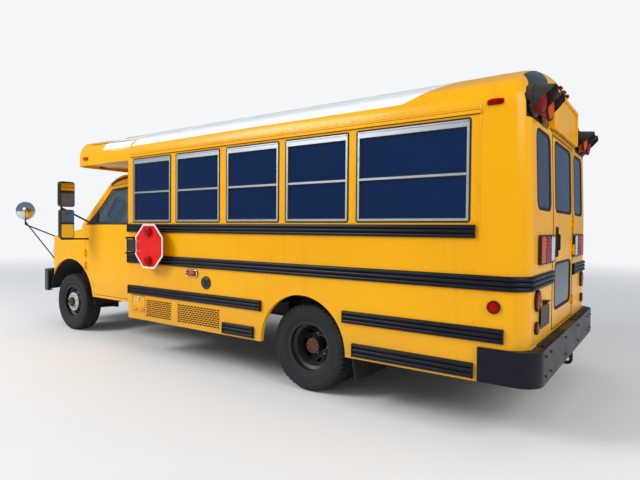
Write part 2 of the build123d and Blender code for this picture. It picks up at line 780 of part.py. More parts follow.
# Belt rail: the one strip that runs on round the rear corner and along the rear face
corner_y = body_half - rear_corner_radius
corner_x = rear_face_x + rear_corner_radius
section = rail_section(belt_rail_low_z, belt_rail_high_z)
belt_rail = lengthways(Pos(body_half, 0) * section, corner_x, body_front_x - 5)
bend = Plane.YZ.offset(corner_x) * Pos(body_half, 0) * section
belt_rail += revolve(bend, Axis((corner_x, corner_y, 0), (0, 0, 1)), revolution_arc=90)
rear_section = mirror(Pos(-rear_face_x, 0) * section, about=Plane.YZ)
belt_rail += across(rear_section, rail_wrap_end_y, corner_y)
save(both_sides(belt_rail), "belt_rails")

# Floor: slab, cross sills, wheel boxes and the entrance steps
wheel_box_half = 470.0
wheel_box_inner_y = rear_outer_y - twin_spacing - tyre_width / 2 - 8.5
wheel_box_top_z = 900.0
sheet = 8.0
floor_low_z = floor_top_z - floor_thickness
floor = block(rear_face_x + wall, shell_front_x, -body_inner_half, body_inner_half, floor_low_z, floor_top_z)
floor_corner_cut = upwards(
    outline([
        (rear_face_x, -body_half, 0),
        (cap_seam_x, -body_half, 0),
        (cap_seam_x, body_half, 0),
        (rear_face_x, body_half, 0),
    ]) - outline([
        (rear_face_x + wall, -body_inner_half, rear_corner_radius),
        (cap_seam_x, -body_inner_half, 0),
        (cap_seam_x, body_inner_half, 0),
        (rear_face_x + wall, body_inner_half, rear_corner_radius),
    ]), floor_low_z, floor_top_z)
floor -= floor_corner_cut
sill_count = 8
sill_front_x = body_front_x - 150
sill_back_x = -1600.0
for index in range(sill_count):
    sill_x = sill_back_x + index * (sill_front_x - sill_back_x) / (sill_count - 1)
    if abs(sill_x) > wheel_box_half + 40:
        floor += block(sill_x - 30, sill_x + 30, -body_inner_half, body_inner_half,
                       frame_rail_high_z, floor_low_z)
for side in (1, -1):
    edges = sorted((side * wheel_box_inner_y, side * body_inner_half))
    floor -= block(-wheel_box_half, wheel_box_half, edges[0], edges[1], floor_low_z - 60, floor_top_z + 1)
    shell_edges = sorted((side * (wheel_box_inner_y - sheet), side * body_inner_half))
    box_shell = block(-wheel_box_half - sheet, wheel_box_half + sheet, shell_edges[0], shell_edges[1],
                      floor_low_z, wheel_box_top_z)
    box_shell -= block(-wheel_box_half, wheel_box_half, edges[0], edges[1], floor_low_z - 1,
                       wheel_box_top_z - sheet)
    floor += box_shell
cab_floor_front_x = cowl_x - 255
firewall_thickness = 10.0
cab_floor_left_y = cab_half - cab_wall - 12
floor += block(shell_front_x, body_front_x, step_edge_y, cab_opening_half, floor_low_z, floor_top_z)
floor += block(body_front_x, cab_floor_front_x, step_edge_y, cab_floor_left_y, floor_low_z, floor_top_z)
floor += block(cab_floor_front_x - firewall_thickness, cab_floor_front_x, step_edge_y, cab_floor_left_y,
               floor_low_z, belt_z - cab_wall - 20)
step_front_x = doorway_front_x + 10
step_middle_y = -portal_half + 250
step_rows = [
    # height of the tread, its outer edge, its inner edge, top of the riser behind it
    (470.0, -portal_half + 42, step_middle_y, 605.0),
    (605.0, step_middle_y, step_edge_y, floor_top_z),
]
for step_z, outer_y, inner_y, riser_z in step_rows:
    floor += block(body_front_x, step_front_x, outer_y, inner_y + 4, step_z - 30, step_z)
    floor += block(body_front_x, step_front_x, inner_y - 4, inner_y + 4, step_z - 30, riser_z)
save(floor, "floor")

# Chassis frame: two channel rails tied by cross members, on sills under the floor
frame_front_x = nose_x - 130
frame_back_x = -1722.0
rail_channel = lengthways(outline([
    (frame_rail_y, frame_rail_low_z, 0),
    (frame_rail_y, frame_rail_high_z, 0),
    (frame_rail_y - frame_rail_flange, frame_rail_high_z, 0),
    (frame_rail_y - frame_rail_flange, frame_rail_high_z - frame_rail_wall, 0),
    (frame_rail_y - frame_rail_wall, frame_rail_high_z - frame_rail_wall, 0),
    (frame_rail_y - frame_rail_wall, frame_rail_low_z + frame_rail_wall, 0),
    (frame_rail_y - frame_rail_flange, frame_rail_low_z + frame_rail_wall, 0),
    (frame_rail_y - frame_rail_flange, frame_rail_low_z, 0),
]), frame_back_x, frame_front_x)
chassis = rail_channel + other_side(rail_channel)
cross_member_rows = [-1650, -800, 700, 1800, wheelbase - 1139, wheelbase + 521]
for member_x in cross_member_rows:
    chassis += block(member_x - 35, member_x + 35, -frame_rail_y + frame_rail_wall,
                     frame_rail_y - frame_rail_wall, frame_rail_low_z + frame_rail_wall,
                     frame_rail_low_z + 60)
for side in (1, -1):
    chassis += block(rear_bumper_x + bumper_plate, frame_back_x, side * frame_rail_y - 30,
                     side * frame_rail_y + 30, frame_rail_low_z + 10, rear_bumper_high_z - 20)
    chassis += block(frame_front_x, front_bumper_x - bumper_plate, side * frame_rail_y - 30,
                     side * frame_rail_y + 30, frame_rail_low_z + 10, nose_low_z - 20)
engine_half = 320.0
engine_back_x = wheelbase - 479
for edges in ((-frame_rail_y + frame_rail_wall, -engine_half), (engine_half, frame_rail_y - frame_rail_wall)):
    chassis += block(wheelbase - 139, wheelbase - 49, *edges, 585, frame_rail_high_z - frame_rail_wall)
save(chassis, "chassis_frame")

# Engine, gearbox included, as one plain block between the rails
engine_length = 820.0
engine_low_z = 560.0
engine_high_z = 1090.0
engine = block(engine_back_x, engine_back_x + engine_length, -engine_half, engine_half,
               engine_low_z, engine_high_z)
save(engine, "engine")


# Wheels
def tyre(x, y):
    half = tyre_width / 2
    bead = rim_width / 2 - 10.3
    return turned([
        (-bead, bead_seat_radius, 0),
        (-bead, rim_flange_radius + 2, 0),
        (-half, rim_flange_radius + 50, 40),
        (-half + 4, tyre_radius - 50, 30),
        (-half + 30, tyre_radius, 18),
        (half - 30, tyre_radius, 18),
        (half - 4, tyre_radius - 50, 30),
        (half, rim_flange_radius + 50, 40),
        (bead, rim_flange_radius + 2, 0),
        (bead, bead_seat_radius, 0),
    ], x, y, tyre_radius)


def rim(x, y, disc_y):
    """Steel wheel: a drop-centre barrel and a dished disc at disc_y, both counted from the tyre's middle."""
    half = rim_width / 2
    outer = bead_seat_radius - 0.3
    side = 1 if disc_y > 0 else -1
    barrel = turned([
        (-half, rim_flange_radius, 0),
        (-half + 8, rim_flange_radius, 0),
        (-half + 10, outer, 0),
        (-half + 50, outer, 0),
        (-20, outer - 26, 0),
        (20, outer - 26, 0),
        (half - 50, outer, 0),
        (half - 10, outer, 0),
        (half - 8, rim_flange_radius, 0),
        (half, rim_flange_radius, 0),
        (half, outer - 8, 0),
        (half - 48, outer - 8, 0),
        (24, outer - 34, 0),
        (-24, outer - 34, 0),
        (-half + 48, outer - 8, 0),
        (-half, outer - 8, 0),
    ], x, y, tyre_radius)
    disc = turned([
        (disc_y, hub_radius - 2, 0),
        (disc_y, 118, 20),
        (disc_y - side * 38, 150, 20),
        (0, outer - 33, 0),
        (-side * 10, outer - 33, 0),
        (disc_y - side * 50, 146, 20),
        (disc_y - side * 10, 112, 10),
        (disc_y - side * 10, hub_radius - 2, 0),
    ], x, y, tyre_radius)
    hole_count = 8
    for index in range(hole_count):
        angle = 360 / hole_count * index
        hand_hole = Pos(x, y, tyre_radius) * Rot(0, angle, 0) * Pos(142, disc_y - side * 24, 0)
        disc -= hand_hole * Rot(90, 0, 0) * Cylinder(19, 90)
    return barrel + disc


running_gap = 0.3
stub_gap = 10.0
stub_radius = 40.0
hub_reach = 110.0
drum_inboard = 260.0
drum_outboard = 30.0
brake_inner_y = steer_axis_y + 40
brake_thickness = 26.0
brake_radius = 150.0
front_disc_y = 78.0
rear_disc_y = 115.0
for side, side_name in ((1, "left"), (-1, "right")):
    save(tyre(wheelbase, side * front_wheel_y), "tyre_front_" + side_name)
    front_rim = rim(wheelbase, side * front_wheel_y, side * front_disc_y)
    hub_ends = sorted((side * (front_wheel_y - stub_gap), side * (front_wheel_y + hub_reach)))
    hub = rod(wheelbase, tyre_radius, hub_radius, *hub_ends)
    save(front_rim + hub, "rim_front_" + side_name)
    outer_tyre = tyre(0, side * rear_outer_y)
    inner_tyre = tyre(0, side * (rear_outer_y - twin_spacing))
    save(Compound(children=[outer_tyre.solid(), inner_tyre.solid()]), "tyres_rear_" + side_name)
    outer_rim = rim(0, side * rear_outer_y, -side * rear_disc_y)
    inner_rim = rim(0, side * (rear_outer_y - twin_spacing), side * rear_disc_y)
    drum_ends = sorted((side * (rear_outer_y - drum_inboard), side * (rear_outer_y + drum_outboard)))
    drum = rod(0, tyre_radius, hub_radius, *drum_ends)
    save(outer_rim + inner_rim + drum, "rims_rear_" + side_name)

    # Steering knuckle: upright, stub axle and brake disc inside the front wheel
    upright = post(wheelbase, side * steer_axis_y, tyre_radius - 120, tyre_radius + 140, upright_radius)
    stub_ends = sorted((side * steer_axis_y, side * (front_wheel_y - stub_gap - running_gap)))
    stub = rod(wheelbase, tyre_radius, stub_radius, *stub_ends)
    disc_ends = sorted((side * brake_inner_y, side * (brake_inner_y + brake_thickness)))
    brake = rod(wheelbase, tyre_radius, brake_radius, *disc_ends)
    save(upright + stub + brake, "knuckle_" + side_name)

# Rear axle with its differential and propeller shaft
axle_tube_radius = 55.0
axle_end_y = rear_outer_y - drum_inboard - running_gap
rear_axle = rod(0, tyre_radius, axle_tube_radius, -axle_end_y, axle_end_y)
differential_radius = 165.0
rear_axle += Pos(0, 0, tyre_radius) * Sphere(differential_radius)
shaft_z = tyre_radius + 30
shaft_radius = 42.0
rear_axle += bar(differential_radius - 65, engine_back_x - running_gap, 0, shaft_z, shaft_radius)
save(rear_axle, "rear_axle")

# Springs and arms: leaf springs at the rear, arms at the front
leaf_y = 530.0
leaf_count = 4
longest_leaf_half = 700.0
leaf_step = 130.0
leaf_pitch = 11.0
leaf_plate = 10.0
leaf_half_width = 35.0
leaf_slope = 0.09
leaf_bend_radius = 1500.0
springs = []
for index in range(leaf_count):
    half_length = longest_leaf_half - leaf_step * index
    low = tyre_radius + axle_tube_radius + 40 - leaf_pitch * index
    rise = half_length * leaf_slope
    leaf = across(outline([
        (-half_length, low + rise, 0),
        (0, low, leaf_bend_radius),
        (half_length, low + rise, 0),
        (half_length, low + leaf_plate + rise, 0),
        (0, low + leaf_plate, leaf_bend_radius),
        (-half_length, low + leaf_plate + rise, 0),
    ]), leaf_y - leaf_half_width, leaf_y + leaf_half_width)
    springs.append(leaf)
spring = springs[0]
for leaf in springs[1:]:
    spring += leaf
saddle_low_z = tyre_radius + axle_tube_radius + running_gap
spring += block(-60, 60, leaf_y - 45, leaf_y + 45, saddle_low_z, saddle_low_z + 60)
for hanger_x in (10 - longest_leaf_half, longest_leaf_half - 10):
    spring += block(hanger_x - 25, hanger_x + 25, frame_rail_y, leaf_y + 20,
                    frame_rail_low_z + 20, frame_rail_high_z - 20)
arm_end_y = steer_axis_y - upright_radius - running_gap
arm = across(outline([
    (wheelbase - 160, 250, 0),
    (wheelbase + 160, 250, 0),
    (wheelbase + 160, frame_rail_low_z, 60),
    (wheelbase - 160, frame_rail_low_z, 60),
]), frame_rail_y - 40, frame_rail_y)
for low, high in ((258, 288), (470, 494)):
    arm += upwards(outline([
        (wheelbase - 150, frame_rail_y, 0),
        (wheelbase - 30, arm_end_y, 0),
        (wheelbase + 30, arm_end_y, 0),
        (wheelbase + 150, frame_rail_y, 0),
        (wheelbase + 90, frame_rail_y, 0),
        (wheelbase, arm_end_y - 130, 30),
        (wheelbase - 90, frame_rail_y, 0),
    ]), low, high)
suspension = Compound(children=list(spring.solids()) + list(arm.solids()))
save(both_sides(suspension), "suspension")

# Fuel tank behind the rear axle and the exhaust on the right
tank_back_x = -1560.0
tank_length = 700.0
tank_half = 320.0
tank_low_z = 430.0
tank = block(tank_back_x, tank_back_x + tank_length, -tank_half, tank_half, tank_low_z, frame_rail_high_z)
save(tank, "fuel_tank")
exhaust_y = -620.0
exhaust_z = 520.0
silencer_back_x = 900.0
silencer_front_x = 1700.0
silencer_radius = 110.0
exhaust_pipe_radius = 32.0
hanger_width = 20.0
exhaust = bar(silencer_back_x, silencer_front_x, exhaust_y, exhaust_z, silencer_radius)
exhaust += bar(silencer_front_x, wheelbase - 739, exhaust_y, exhaust_z, exhaust_pipe_radius)
hanger_rows = [
    # back edge and foot of each hanger
    (silencer_back_x + 150, exhaust_z + silencer_radius - 10),
    (silencer_front_x - 140, exhaust_z + silencer_radius - 10),
    (wheelbase - 1339, exhaust_z + exhaust_pipe_radius - 12),
]
for hanger_x, hanger_z in hanger_rows:
    exhaust += block(hanger_x, hanger_x + hanger_width, exhaust_y - hanger_width / 2,
                     exhaust_y + hanger_width / 2, hanger_z, floor_low_z)
save(exhaust, "exhaust")

# Stop arm: octagon plate on two arms, folded flat, hinged on a motor box at its front
stop_hinge_x = body_front_x - 110
stop_x = stop_hinge_x - 390
stop_z = 1180.0
stop_across_flats = 457.0
stop_y = body_half + 93
stop_plate_thickness = 5.0
stop_radius = stop_across_flats / 2
octagon = Rot(0, 0, 22.5) * RegularPolygon(stop_radius, 8, major_radius=False)
plate = Plane.XZ.offset(-stop_y - stop_plate_thickness) * Pos(stop_x, stop_z) * octagon
stop_arm = extrude(plate, amount=stop_plate_thickness)
stop_pin_half = 72.0
stop_arm_half_height = 14.0
stop_arm_plate = 12.0
flasher_spacing = 150.0
flasher_radius = 48.0
for arm_z in (stop_z - 50, stop_z + 50):
    stop_arm += block(stop_x + stop_radius - 40, stop_hinge_x, stop_y - stop_arm_plate, stop_y,
                      arm_z - stop_arm_half_height, arm_z + stop_arm_half_height)
stop_arm += post(stop_hinge_x, stop_y - stop_arm_plate / 2, stop_z - stop_pin_half + running_gap,
                 stop_z + stop_pin_half - running_gap, 7)
for lamp_z in (stop_z - flasher_spacing, stop_z + flasher_spacing):
    stop_arm += rod(stop_x, lamp_z, flasher_radius, stop_y - 28, stop_y + 32)
save(stop_arm, "stop_arm")

# Fittings: stop arm motor, fuel filler and side lamp bezel
motor = block(stop_hinge_x - 34, stop_hinge_x + 34, body_half, stop_y - 24, stop_z - 65, stop_z + 65)
lug_half = 16.0
lug_height = 20.0
for low in (stop_z - stop_pin_half - lug_height, stop_z + stop_pin_half):
    motor += block(stop_hinge_x - lug_half, stop_hinge_x + lug_half, body_half, stop_y + 8,
                   low, low + lug_height)
motor += block(stop_hinge_x - lug_half, stop_hinge_x + lug_half, body_half, body_half + 10,
               stop_z - stop_pin_half - lug_height, stop_z + stop_pin_half + lug_height)
filler_radius = 53.0
filler_proud = 12.0
filler = rod(body_front_x - 1260, 850, filler_radius, body_half, body_half + filler_proud)
bezel_proud = 14.0
bezel = Plane.XZ.offset(-body_half - bezel_proud) * Pos(body_front_x - 1060, 930) * SlotOverall(165, 60)
bezel = extrude(bezel, amount=bezel_proud)

# Empty plate bracket beside the rear door, stood off the cap on one foot
bracket_y = 740.0
bracket_z = 782.0
bracket_hole_radius = 3.5
bracket_spacing_y = 178.0
bracket_spacing_z = 121.0
bracket_edge = 51.0
bracket_half = (bracket_spacing_y + bracket_edge * 2) / 2
bracket_half_height = 72.0
bracket_foot_x = rear_face_x - 13
bracket_plate = 3.0
bracket = block(bracket_foot_x - bracket_plate, bracket_foot_x,
                bracket_y - bracket_half, bracket_y + bracket_half,
                bracket_z - bracket_half_height, bracket_z + bracket_half_height)
for hole in GridLocations(bracket_spacing_y, bracket_spacing_z, 2, 2):
    bracket -= bar(bracket_foot_x - bracket_plate - 1, bracket_foot_x + 1, bracket_y + hole.position.X,
                   bracket_z + hole.position.Y, bracket_hole_radius)
bracket += block(bracket_foot_x, rear_face_x, bracket_y - 50, bracket_y + 50, bracket_z - 40, bracket_z + 40)
fittings = [motor, filler, bezel, bracket]
save(Compound(children=[piece.solid() for piece in fittings]), "side_fittings")

# Lamps: tail clusters, headlamps, hooded warning lamps, clearance lamps and reflectors
tail_lamp_low_z = 1150.0
tail_lamp_high_z = 1340.0
tail_lamp_depth = 20.0
tail_lamp_y = body_half - 369
warning_z = 2215.0
warning_radius = 90.0
warning_red_y = body_half - 180
warning_amber_y = warning_red_y - 240
front_warning_z = 2225.0
board_inner_y = 395.0
board_outer_y = body_half - 314
board_back_x = visor_x - 280
board_front_x = visor_x + 12
hood_wall = 8.0
hood_inner_radius = warning_radius + 6
lens_depth = 30.0
reflector_radius = 38.0
reflector_proud = 12.0
rear_reflector_proud = 14.0
stop_lamp_radius = 65.0
red_lamps = []
amber_lamps = []
clear_lamps = []
hoods = []


def lamp_block(x_back, x_front, y, half_width, z_low, z_high):
    return block(x_back, x_front, y - half_width, y + half_width, z_low, z_high)


def lamp_hood(x_lamp, y, z, way):
    """A deep round hood, open below, standing out of the board behind the lamp."""
    ends = sorted((x_lamp, x_lamp + way * hood_length))
    hood = bar(*ends, y, z, hood_inner_radius + hood_wall) - bar(*ends, y, z, hood_inner_radius)
    reach = 2 * warning_radius
    return hood - block(ends[0] - 1, ends[1] + 1, y - reach, y + reach, z - reach, z - 30)


visor_cut = visor_solid(0, visor_low_z)
for side in (1, -1):
    tail_rows = [(amber_lamps, 0, 79), (red_lamps, 160, 79), (clear_lamps, 318, 76)]
    for lamps, inboard, half_width in tail_rows:
        lamps.append(lamp_block(rear_face_x - tail_lamp_depth, rear_face_x, side * (tail_lamp_y - inboard),
                                half_width, tail_lamp_low_z, tail_lamp_high_z))
    clear_lamps.append(lamp_block(nose_x - 75, nose_x - 25, side * lamp_y, lamp_half_width - running_gap,
                                  grille_low_z + lamp_margin + running_gap,
                                  grille_high_z - lamp_margin - running_gap))
    for y, lamps in ((side * warning_red_y, red_lamps), (side * warning_amber_y, amber_lamps)):
        lamps.append(bar(warning_face_x - lens_depth, warning_face_x, y, warning_z, warning_radius))
    for y in (side * warning_red_y, side * warning_amber_y):
        pod = bar(warning_face_x, cap_seam_x, y, warning_z, hood_inner_radius + hood_wall) - cap_outer
        hoods.append(pod.solids().sort_by(Axis.X)[0] + lamp_hood(warning_face_x, y, warning_z, -1))
    for inboard, z, radius in ((249, 730, reflector_radius), (269, 910, stop_lamp_radius)):
        red_lamps.append(bar(rear_face_x - rear_reflector_proud, rear_face_x, side * (body_half - inboard), z,
                             radius))
    reflector_ends = sorted((side * body_half, side * (body_half + reflector_proud)))
    red_lamps.append(rod(cap_seam_x - 100, 880, reflector_radius, *reflector_ends))
    board_edges = sorted((side * board_inner_y, side * board_outer_y))
    front_board = block(board_back_x, board_front_x, *board_edges, visor_low_z + 20, visor_low_z + 230)
    front_board = (front_board - visor_cut).solids().sort_by(Axis.X)[-1]
    for y, lamps in ((side * (board_outer_y - 125), red_lamps), (side * (board_inner_y + 125), amber_lamps)):
        lamps.append(bar(board_front_x, board_front_x + 24, y, front_warning_z, warning_radius))
    hoods.append(front_board)
save(Compound(children=[lamp.solid() for lamp in red_lamps]), "lamps_red")
save(Compound(children=[lamp.solid() for lamp in amber_lamps]), "lamps_amber")
save(Compound(children=[lamp.solid() for lamp in clear_lamps]), "lamps_clear")
save(Compound(children=[hood.solid() for hood in hoods]), "lamp_hoods")

# Blank sign boxes over the rear door and on the front cap
rear_sign_half = warning_amber_y - 279
rear_sign_low_z = 2125.0
rear_sign_high_z = 2430.0
rear_sign = block(warning_face_x - 6, cap_seam_x, -rear_sign_half, rear_sign_half,
                  rear_sign_low_z, rear_sign_high_z) - cap_outer
front_sign_half = board_inner_y - 25
front_sign = block(board_back_x, board_front_x + 4, -front_sign_half, front_sign_half,
                   visor_low_z + 40, visor_low_z + 220) - visor_cut
rear_sign = rear_sign.solids().sort_by(Axis.X)[0]
front_sign = front_sign.solids().sort_by(Axis.X)[-1]
save(Compound(children=[rear_sign, front_sign]), "sign_boxes")


# Mirrors: two flat heads on a post at each side, and a bowl on tubes at each front corner
def tube_run(points, radius):
    """Round tube along a bent line."""
    path = FilletPolyline(*points, radius=3 * radius) if len(points) > 2 else Line(*points)
    start = Plane(origin=path @ 0, z_dir=path % 0)
    return sweep(start * Circle(radius), path=path)


mirror_x = door_front_x - 55
mirror_y = cab_half + 265
mirror_head_rows = [(1620.0, 1930.0, 184.0), (1230.0, 1585.0, 170.0)]
mirror_head_depth = 58.0
mirror_glass_depth = 4.0
mirror_post_y = mirror_y + 60.0


def mirror_set(root_y, root_x):
    """Post, brackets and heads on the driver's side, with their two glasses apart."""
    arms = post(mirror_x + 30, mirror_post_y, 1215, 1900, 12)
    glasses = []
    for low, high, width in mirror_head_rows:
        head = outline([
            (mirror_y - width / 2, low, 30),
            (mirror_y + width / 2, low, 30),
            (mirror_y + width / 2, high, 30),
            (mirror_y - width / 2, high, 30),
        ])
        arms += lengthways(head, mirror_x, mirror_x + mirror_head_depth)
        face = offset(head, -10)
        glasses.append(lengthways(face, mirror_x - mirror_glass_depth, mirror_x).solid())
    for z in (1222, 1605):
        arms += tube_run([(mirror_x + 30, mirror_post_y, z), (root_x, root_y, z if z < 1300 else 1440)], 11)
    return arms.solid(), Compound(children=glasses)


left_arms, left_glasses = mirror_set(cab_half, door_front_x - 60)
save((left_arms - driver_door).solids().sort_by(SortBy.VOLUME)[-1], "door_mirror_arms")
save(left_glasses, "door_mirror_faces")
right_arms = other_side(mirror_set(cab_half - 10, door_front_x + 60)[0])
right_glasses = other_side(left_glasses)
bowl_x = nose_x + 20
bowl_y = cab_half + 190
bowl_z = 1590.0
bowl_radius = 125.0
bowl_depth = 60.0
sphere_radius = (bowl_radius**2 + bowl_depth**2) / (2 * bowl_depth)
cap_ball = Pos(sphere_radius - bowl_depth, 0, 0) * Sphere(sphere_radius)
bowl = cap_ball & block(-bowl_depth - 1, 0, -200, 200, -200, 200)
bowl = Pos(bowl_x, bowl_y, bowl_z) * bowl
bowl_back = bar(bowl_x, bowl_x + 14, bowl_y, bowl_z, bowl_radius)
bowl_arms = bowl_back + tube_run([(bowl_x + 20, bowl_y, bowl_z), (bowl_x + 20, bowl_y, bowl_z - 190),
                                  (nose_x - 270, cab_half - 100, 1225)], 9)
bowl_arms += tube_run([(bowl_x + 20, bowl_y, bowl_z - 150), (nose_x - 130, cab_half - 172, 860)], 8)
arms = [right_arms] + list(both_sides(bowl_arms).solids())
arms = [(arm_piece - fenders - cab_shell).solids().sort_by(SortBy.VOLUME)[-1] for arm_piece in arms]
save(Compound(children=arms), "mirror_arms")
save(Compound(children=list(right_glasses.solids()) + list(both_sides(bowl).solids())), "mirror_faces")

# Dashboard with the engine cover, steering column and wheel
dash_x = cab_floor_front_x - 185
dash = across(outline([
    (dash_x, 1130, 20),
    (dash_x + 30, 1330, 60),
    (cab_floor_front_x - firewall_thickness, belt_z - 80, 0),
    (cab_floor_front_x - firewall_thickness, 1130, 0),
]), step_edge_y, cab_floor_left_y - 12)
engine_cover = block(dash_x - 210, cab_floor_front_x - firewall_thickness, -300, 280, floor_top_z, 1130)
wheel_y = cab_half - 520
wheel_tilt = 58.0
wheel_centre = Vector(dash_x - 130, wheel_y, 1375)
wheel_place = Pos(*wheel_centre) * Rot(0, -wheel_tilt, 0)
wheel_radius = 185.0
grip_radius = 14.0
spoke_width = 36.0
wheel_hub = Cylinder(45, 40)
spokes = Box(2 * wheel_radius, spoke_width, grip_radius) + Box(spoke_width, 2 * wheel_radius, grip_radius)
steering_wheel = wheel_place * (Torus(wheel_radius, grip_radius) + wheel_hub + spokes)
column_run = 190.0
column_end = wheel_centre + Vector(column_run, 0, -column_run * tan(radians(90 - wheel_tilt)))
column = tube_run([tuple(wheel_centre), tuple(column_end)], 28)
save(Compound(children=[(dash + engine_cover + column + steering_wheel).solid()]), "dashboard")

# Seats: padded benches on tube frames, and the driver's seat on its pedestal
bench_count = 5
bench_front_x = body_front_x - 570
bench_back_x = cap_seam_x + 540
bench_inner_y = 200.0
bench_outer_y = body_inner_half - 29
cushion_low_z = 1080.0
cushion_high_z = 1190.0
cushion_depth = 400.0
back_thickness = 95.0
back_lean = 90.0
seat_leg_radius = 14.0
seat_frame_low_z = cushion_low_z - 30
back_high_z = 1720.0
benches = []
frames = []
for index in range(bench_count):
    bench_x = bench_front_x + (bench_back_x - bench_front_x) * index / (bench_count - 1)
    cushion = block(bench_x, bench_x + cushion_depth, bench_inner_y, bench_outer_y,
                    cushion_low_z, cushion_high_z)
    back = across(outline([
        (bench_x - back_thickness, cushion_low_z, 20),
        (bench_x - running_gap, cushion_low_z, 0),
        (bench_x - back_lean, back_high_z, 40),
        (bench_x - back_lean - back_thickness, back_high_z, 40),
    ]), bench_inner_y, bench_outer_y)
    benches += [fillet(cushion.edges(), 25).solid(), back.solid()]
    frame = block(bench_x - 60, bench_x + cushion_depth - 40, bench_inner_y + 20, body_inner_half,
                  seat_frame_low_z, cushion_low_z - running_gap)
    frame -= block(bench_x - 30, bench_x + cushion_depth - 70, bench_inner_y + 50, body_inner_half + 1,
                   seat_frame_low_z - 1, cushion_low_z + 1)
    for leg_x in (bench_x - 45, bench_x + cushion_depth - 55):
        frame += post(leg_x, bench_inner_y + 35, floor_top_z, seat_frame_low_z + 10, seat_leg_radius)
    frames.append(frame.solid())
driver_seat_x = dash_x - 660
driver_cushion = block(driver_seat_x, driver_seat_x + 420, wheel_y - 240, wheel_y + 240, 1050, 1170)
driver_back = across(outline([
    (driver_seat_x - 120, 1120, 20),
    (driver_seat_x - 0.3, 1100, 0),
    (driver_seat_x - 80, 1720, 50),
    (driver_seat_x - 180, 1720, 50),
]), wheel_y - 230, wheel_y + 230)
driver_head = block(driver_seat_x - 185, driver_seat_x - 90, wheel_y - 130, wheel_y + 130, 1720.3, 1880)
save(Compound(children=[fillet(driver_cushion.edges(), 30).solid(), driver_back.solid(),
                        fillet(driver_head.edges(), 30).solid()]), "driver_seat")
pedestal = block(driver_seat_x + 40, driver_seat_x + 380, wheel_y - 180, wheel_y + 180, floor_top_z, 1049.7)
frames = list(both_sides(Compound(children=frames)).solids()) + [pedestal.solid()]
save(Compound(children=frames), "seat_frames")
save(both_sides(Compound(children=benches)), "bench_seats")
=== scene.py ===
from math import cos, hypot, pi, radians, sin, tau

import bmesh
import bpy
from mathutils import Matrix, Vector
from mathutils.bvhtree import BVHTree


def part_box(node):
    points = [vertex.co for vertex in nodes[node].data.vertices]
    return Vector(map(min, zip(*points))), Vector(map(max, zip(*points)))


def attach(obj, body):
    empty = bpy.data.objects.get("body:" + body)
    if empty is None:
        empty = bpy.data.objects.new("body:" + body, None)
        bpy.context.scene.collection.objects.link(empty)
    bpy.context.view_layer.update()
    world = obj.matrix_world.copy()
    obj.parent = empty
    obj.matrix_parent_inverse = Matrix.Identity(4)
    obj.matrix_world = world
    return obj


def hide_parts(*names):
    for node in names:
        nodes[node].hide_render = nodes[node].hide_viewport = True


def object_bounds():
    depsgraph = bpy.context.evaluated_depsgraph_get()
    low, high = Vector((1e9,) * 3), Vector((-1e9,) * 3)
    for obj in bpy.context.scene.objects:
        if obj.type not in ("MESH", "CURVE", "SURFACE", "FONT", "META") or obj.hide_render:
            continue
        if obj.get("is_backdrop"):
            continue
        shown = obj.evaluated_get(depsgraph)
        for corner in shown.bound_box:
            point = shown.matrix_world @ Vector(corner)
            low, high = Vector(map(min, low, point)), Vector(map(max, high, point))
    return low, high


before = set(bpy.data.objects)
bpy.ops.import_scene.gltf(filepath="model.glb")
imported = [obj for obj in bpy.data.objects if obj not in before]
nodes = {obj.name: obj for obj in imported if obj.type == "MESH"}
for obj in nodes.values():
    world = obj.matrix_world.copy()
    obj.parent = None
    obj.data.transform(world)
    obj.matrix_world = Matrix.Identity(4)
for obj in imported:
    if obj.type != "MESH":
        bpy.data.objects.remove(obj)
cad_low, cad_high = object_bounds()
scene = bpy.context.scene

# Camera and studio. The camera stands where the photograph was taken from, at eye height off the bus's left
# rear quarter. The floor is pale and the light soft, with the stronger side towards the front left.
axle_x = -1.5175            # the rear axle; places along the bus are counted forward from it
camera_spot = (-2.503 + axle_x, 4.473, 1.376)
camera_heading = radians(-54.63)
camera_pitch = radians(-1.30)
camera_roll = radians(0.49)

ahead = Vector((cos(camera_heading) * cos(camera_pitch), sin(camera_heading) * cos(camera_pitch), sin(camera_pitch)))
level_right = Vector((sin(camera_heading), -cos(camera_heading), 0))
level_up = level_right.cross(ahead)
camera_right = level_right * cos(camera_roll) + level_up * sin(camera_roll)
camera_up = level_up * cos(camera_roll) - level_right * sin(camera_roll)


def placed(name, data):
    """A new object in the scene."""
    thing = bpy.data.objects.new(name, data)
    scene.collection.objects.link(thing)
    return thing


camera_data = bpy.data.cameras.new("camera")
camera_data.sensor_width = 36
camera_data.lens = 28.0
camera = placed("camera", camera_data)
camera.matrix_world = Matrix.Translation(camera_spot) @ Matrix((camera_right, camera_up, -ahead)).transposed().to_4x4()
scene.camera = camera
scene.view_settings.view_transform = "Standard"


def linear(code):
    """An sRGB hex colour as the linear colour that a shader reads."""
    values = [int(code[i:i + 2], 16) / 255 for i in (1, 3, 5)]
    return (*[v / 12.92 if v <= 0.04045 else ((v + 0.055) / 1.055) ** 2.4 for v in values], 1)


def add_node(tree, kind, settings=None, inputs=None):
    """Adds a node, with its settings, and its inputs either set to a value or linked from a socket."""
    node = tree.nodes.new(kind)
    for name, value in (settings or {}).items():
        setattr(node, name, value)
    for name, value in (inputs or {}).items():
        if isinstance(value, bpy.types.NodeSocket):
            tree.links.new(value, node.inputs[name])
        else:
            node.inputs[name].default_value = value
    return node


def ranged(tree, value, low, high, to_low=0.0, to_high=1.0, **settings):
    """A value carried from one range over to another and held within it."""
    return add_node(tree, "ShaderNodeMapRange", settings, {"Value": value, "From Min": low, "From Max": high,
                                                           "To Min": to_low, "To Max": to_high}).outputs["Result"]


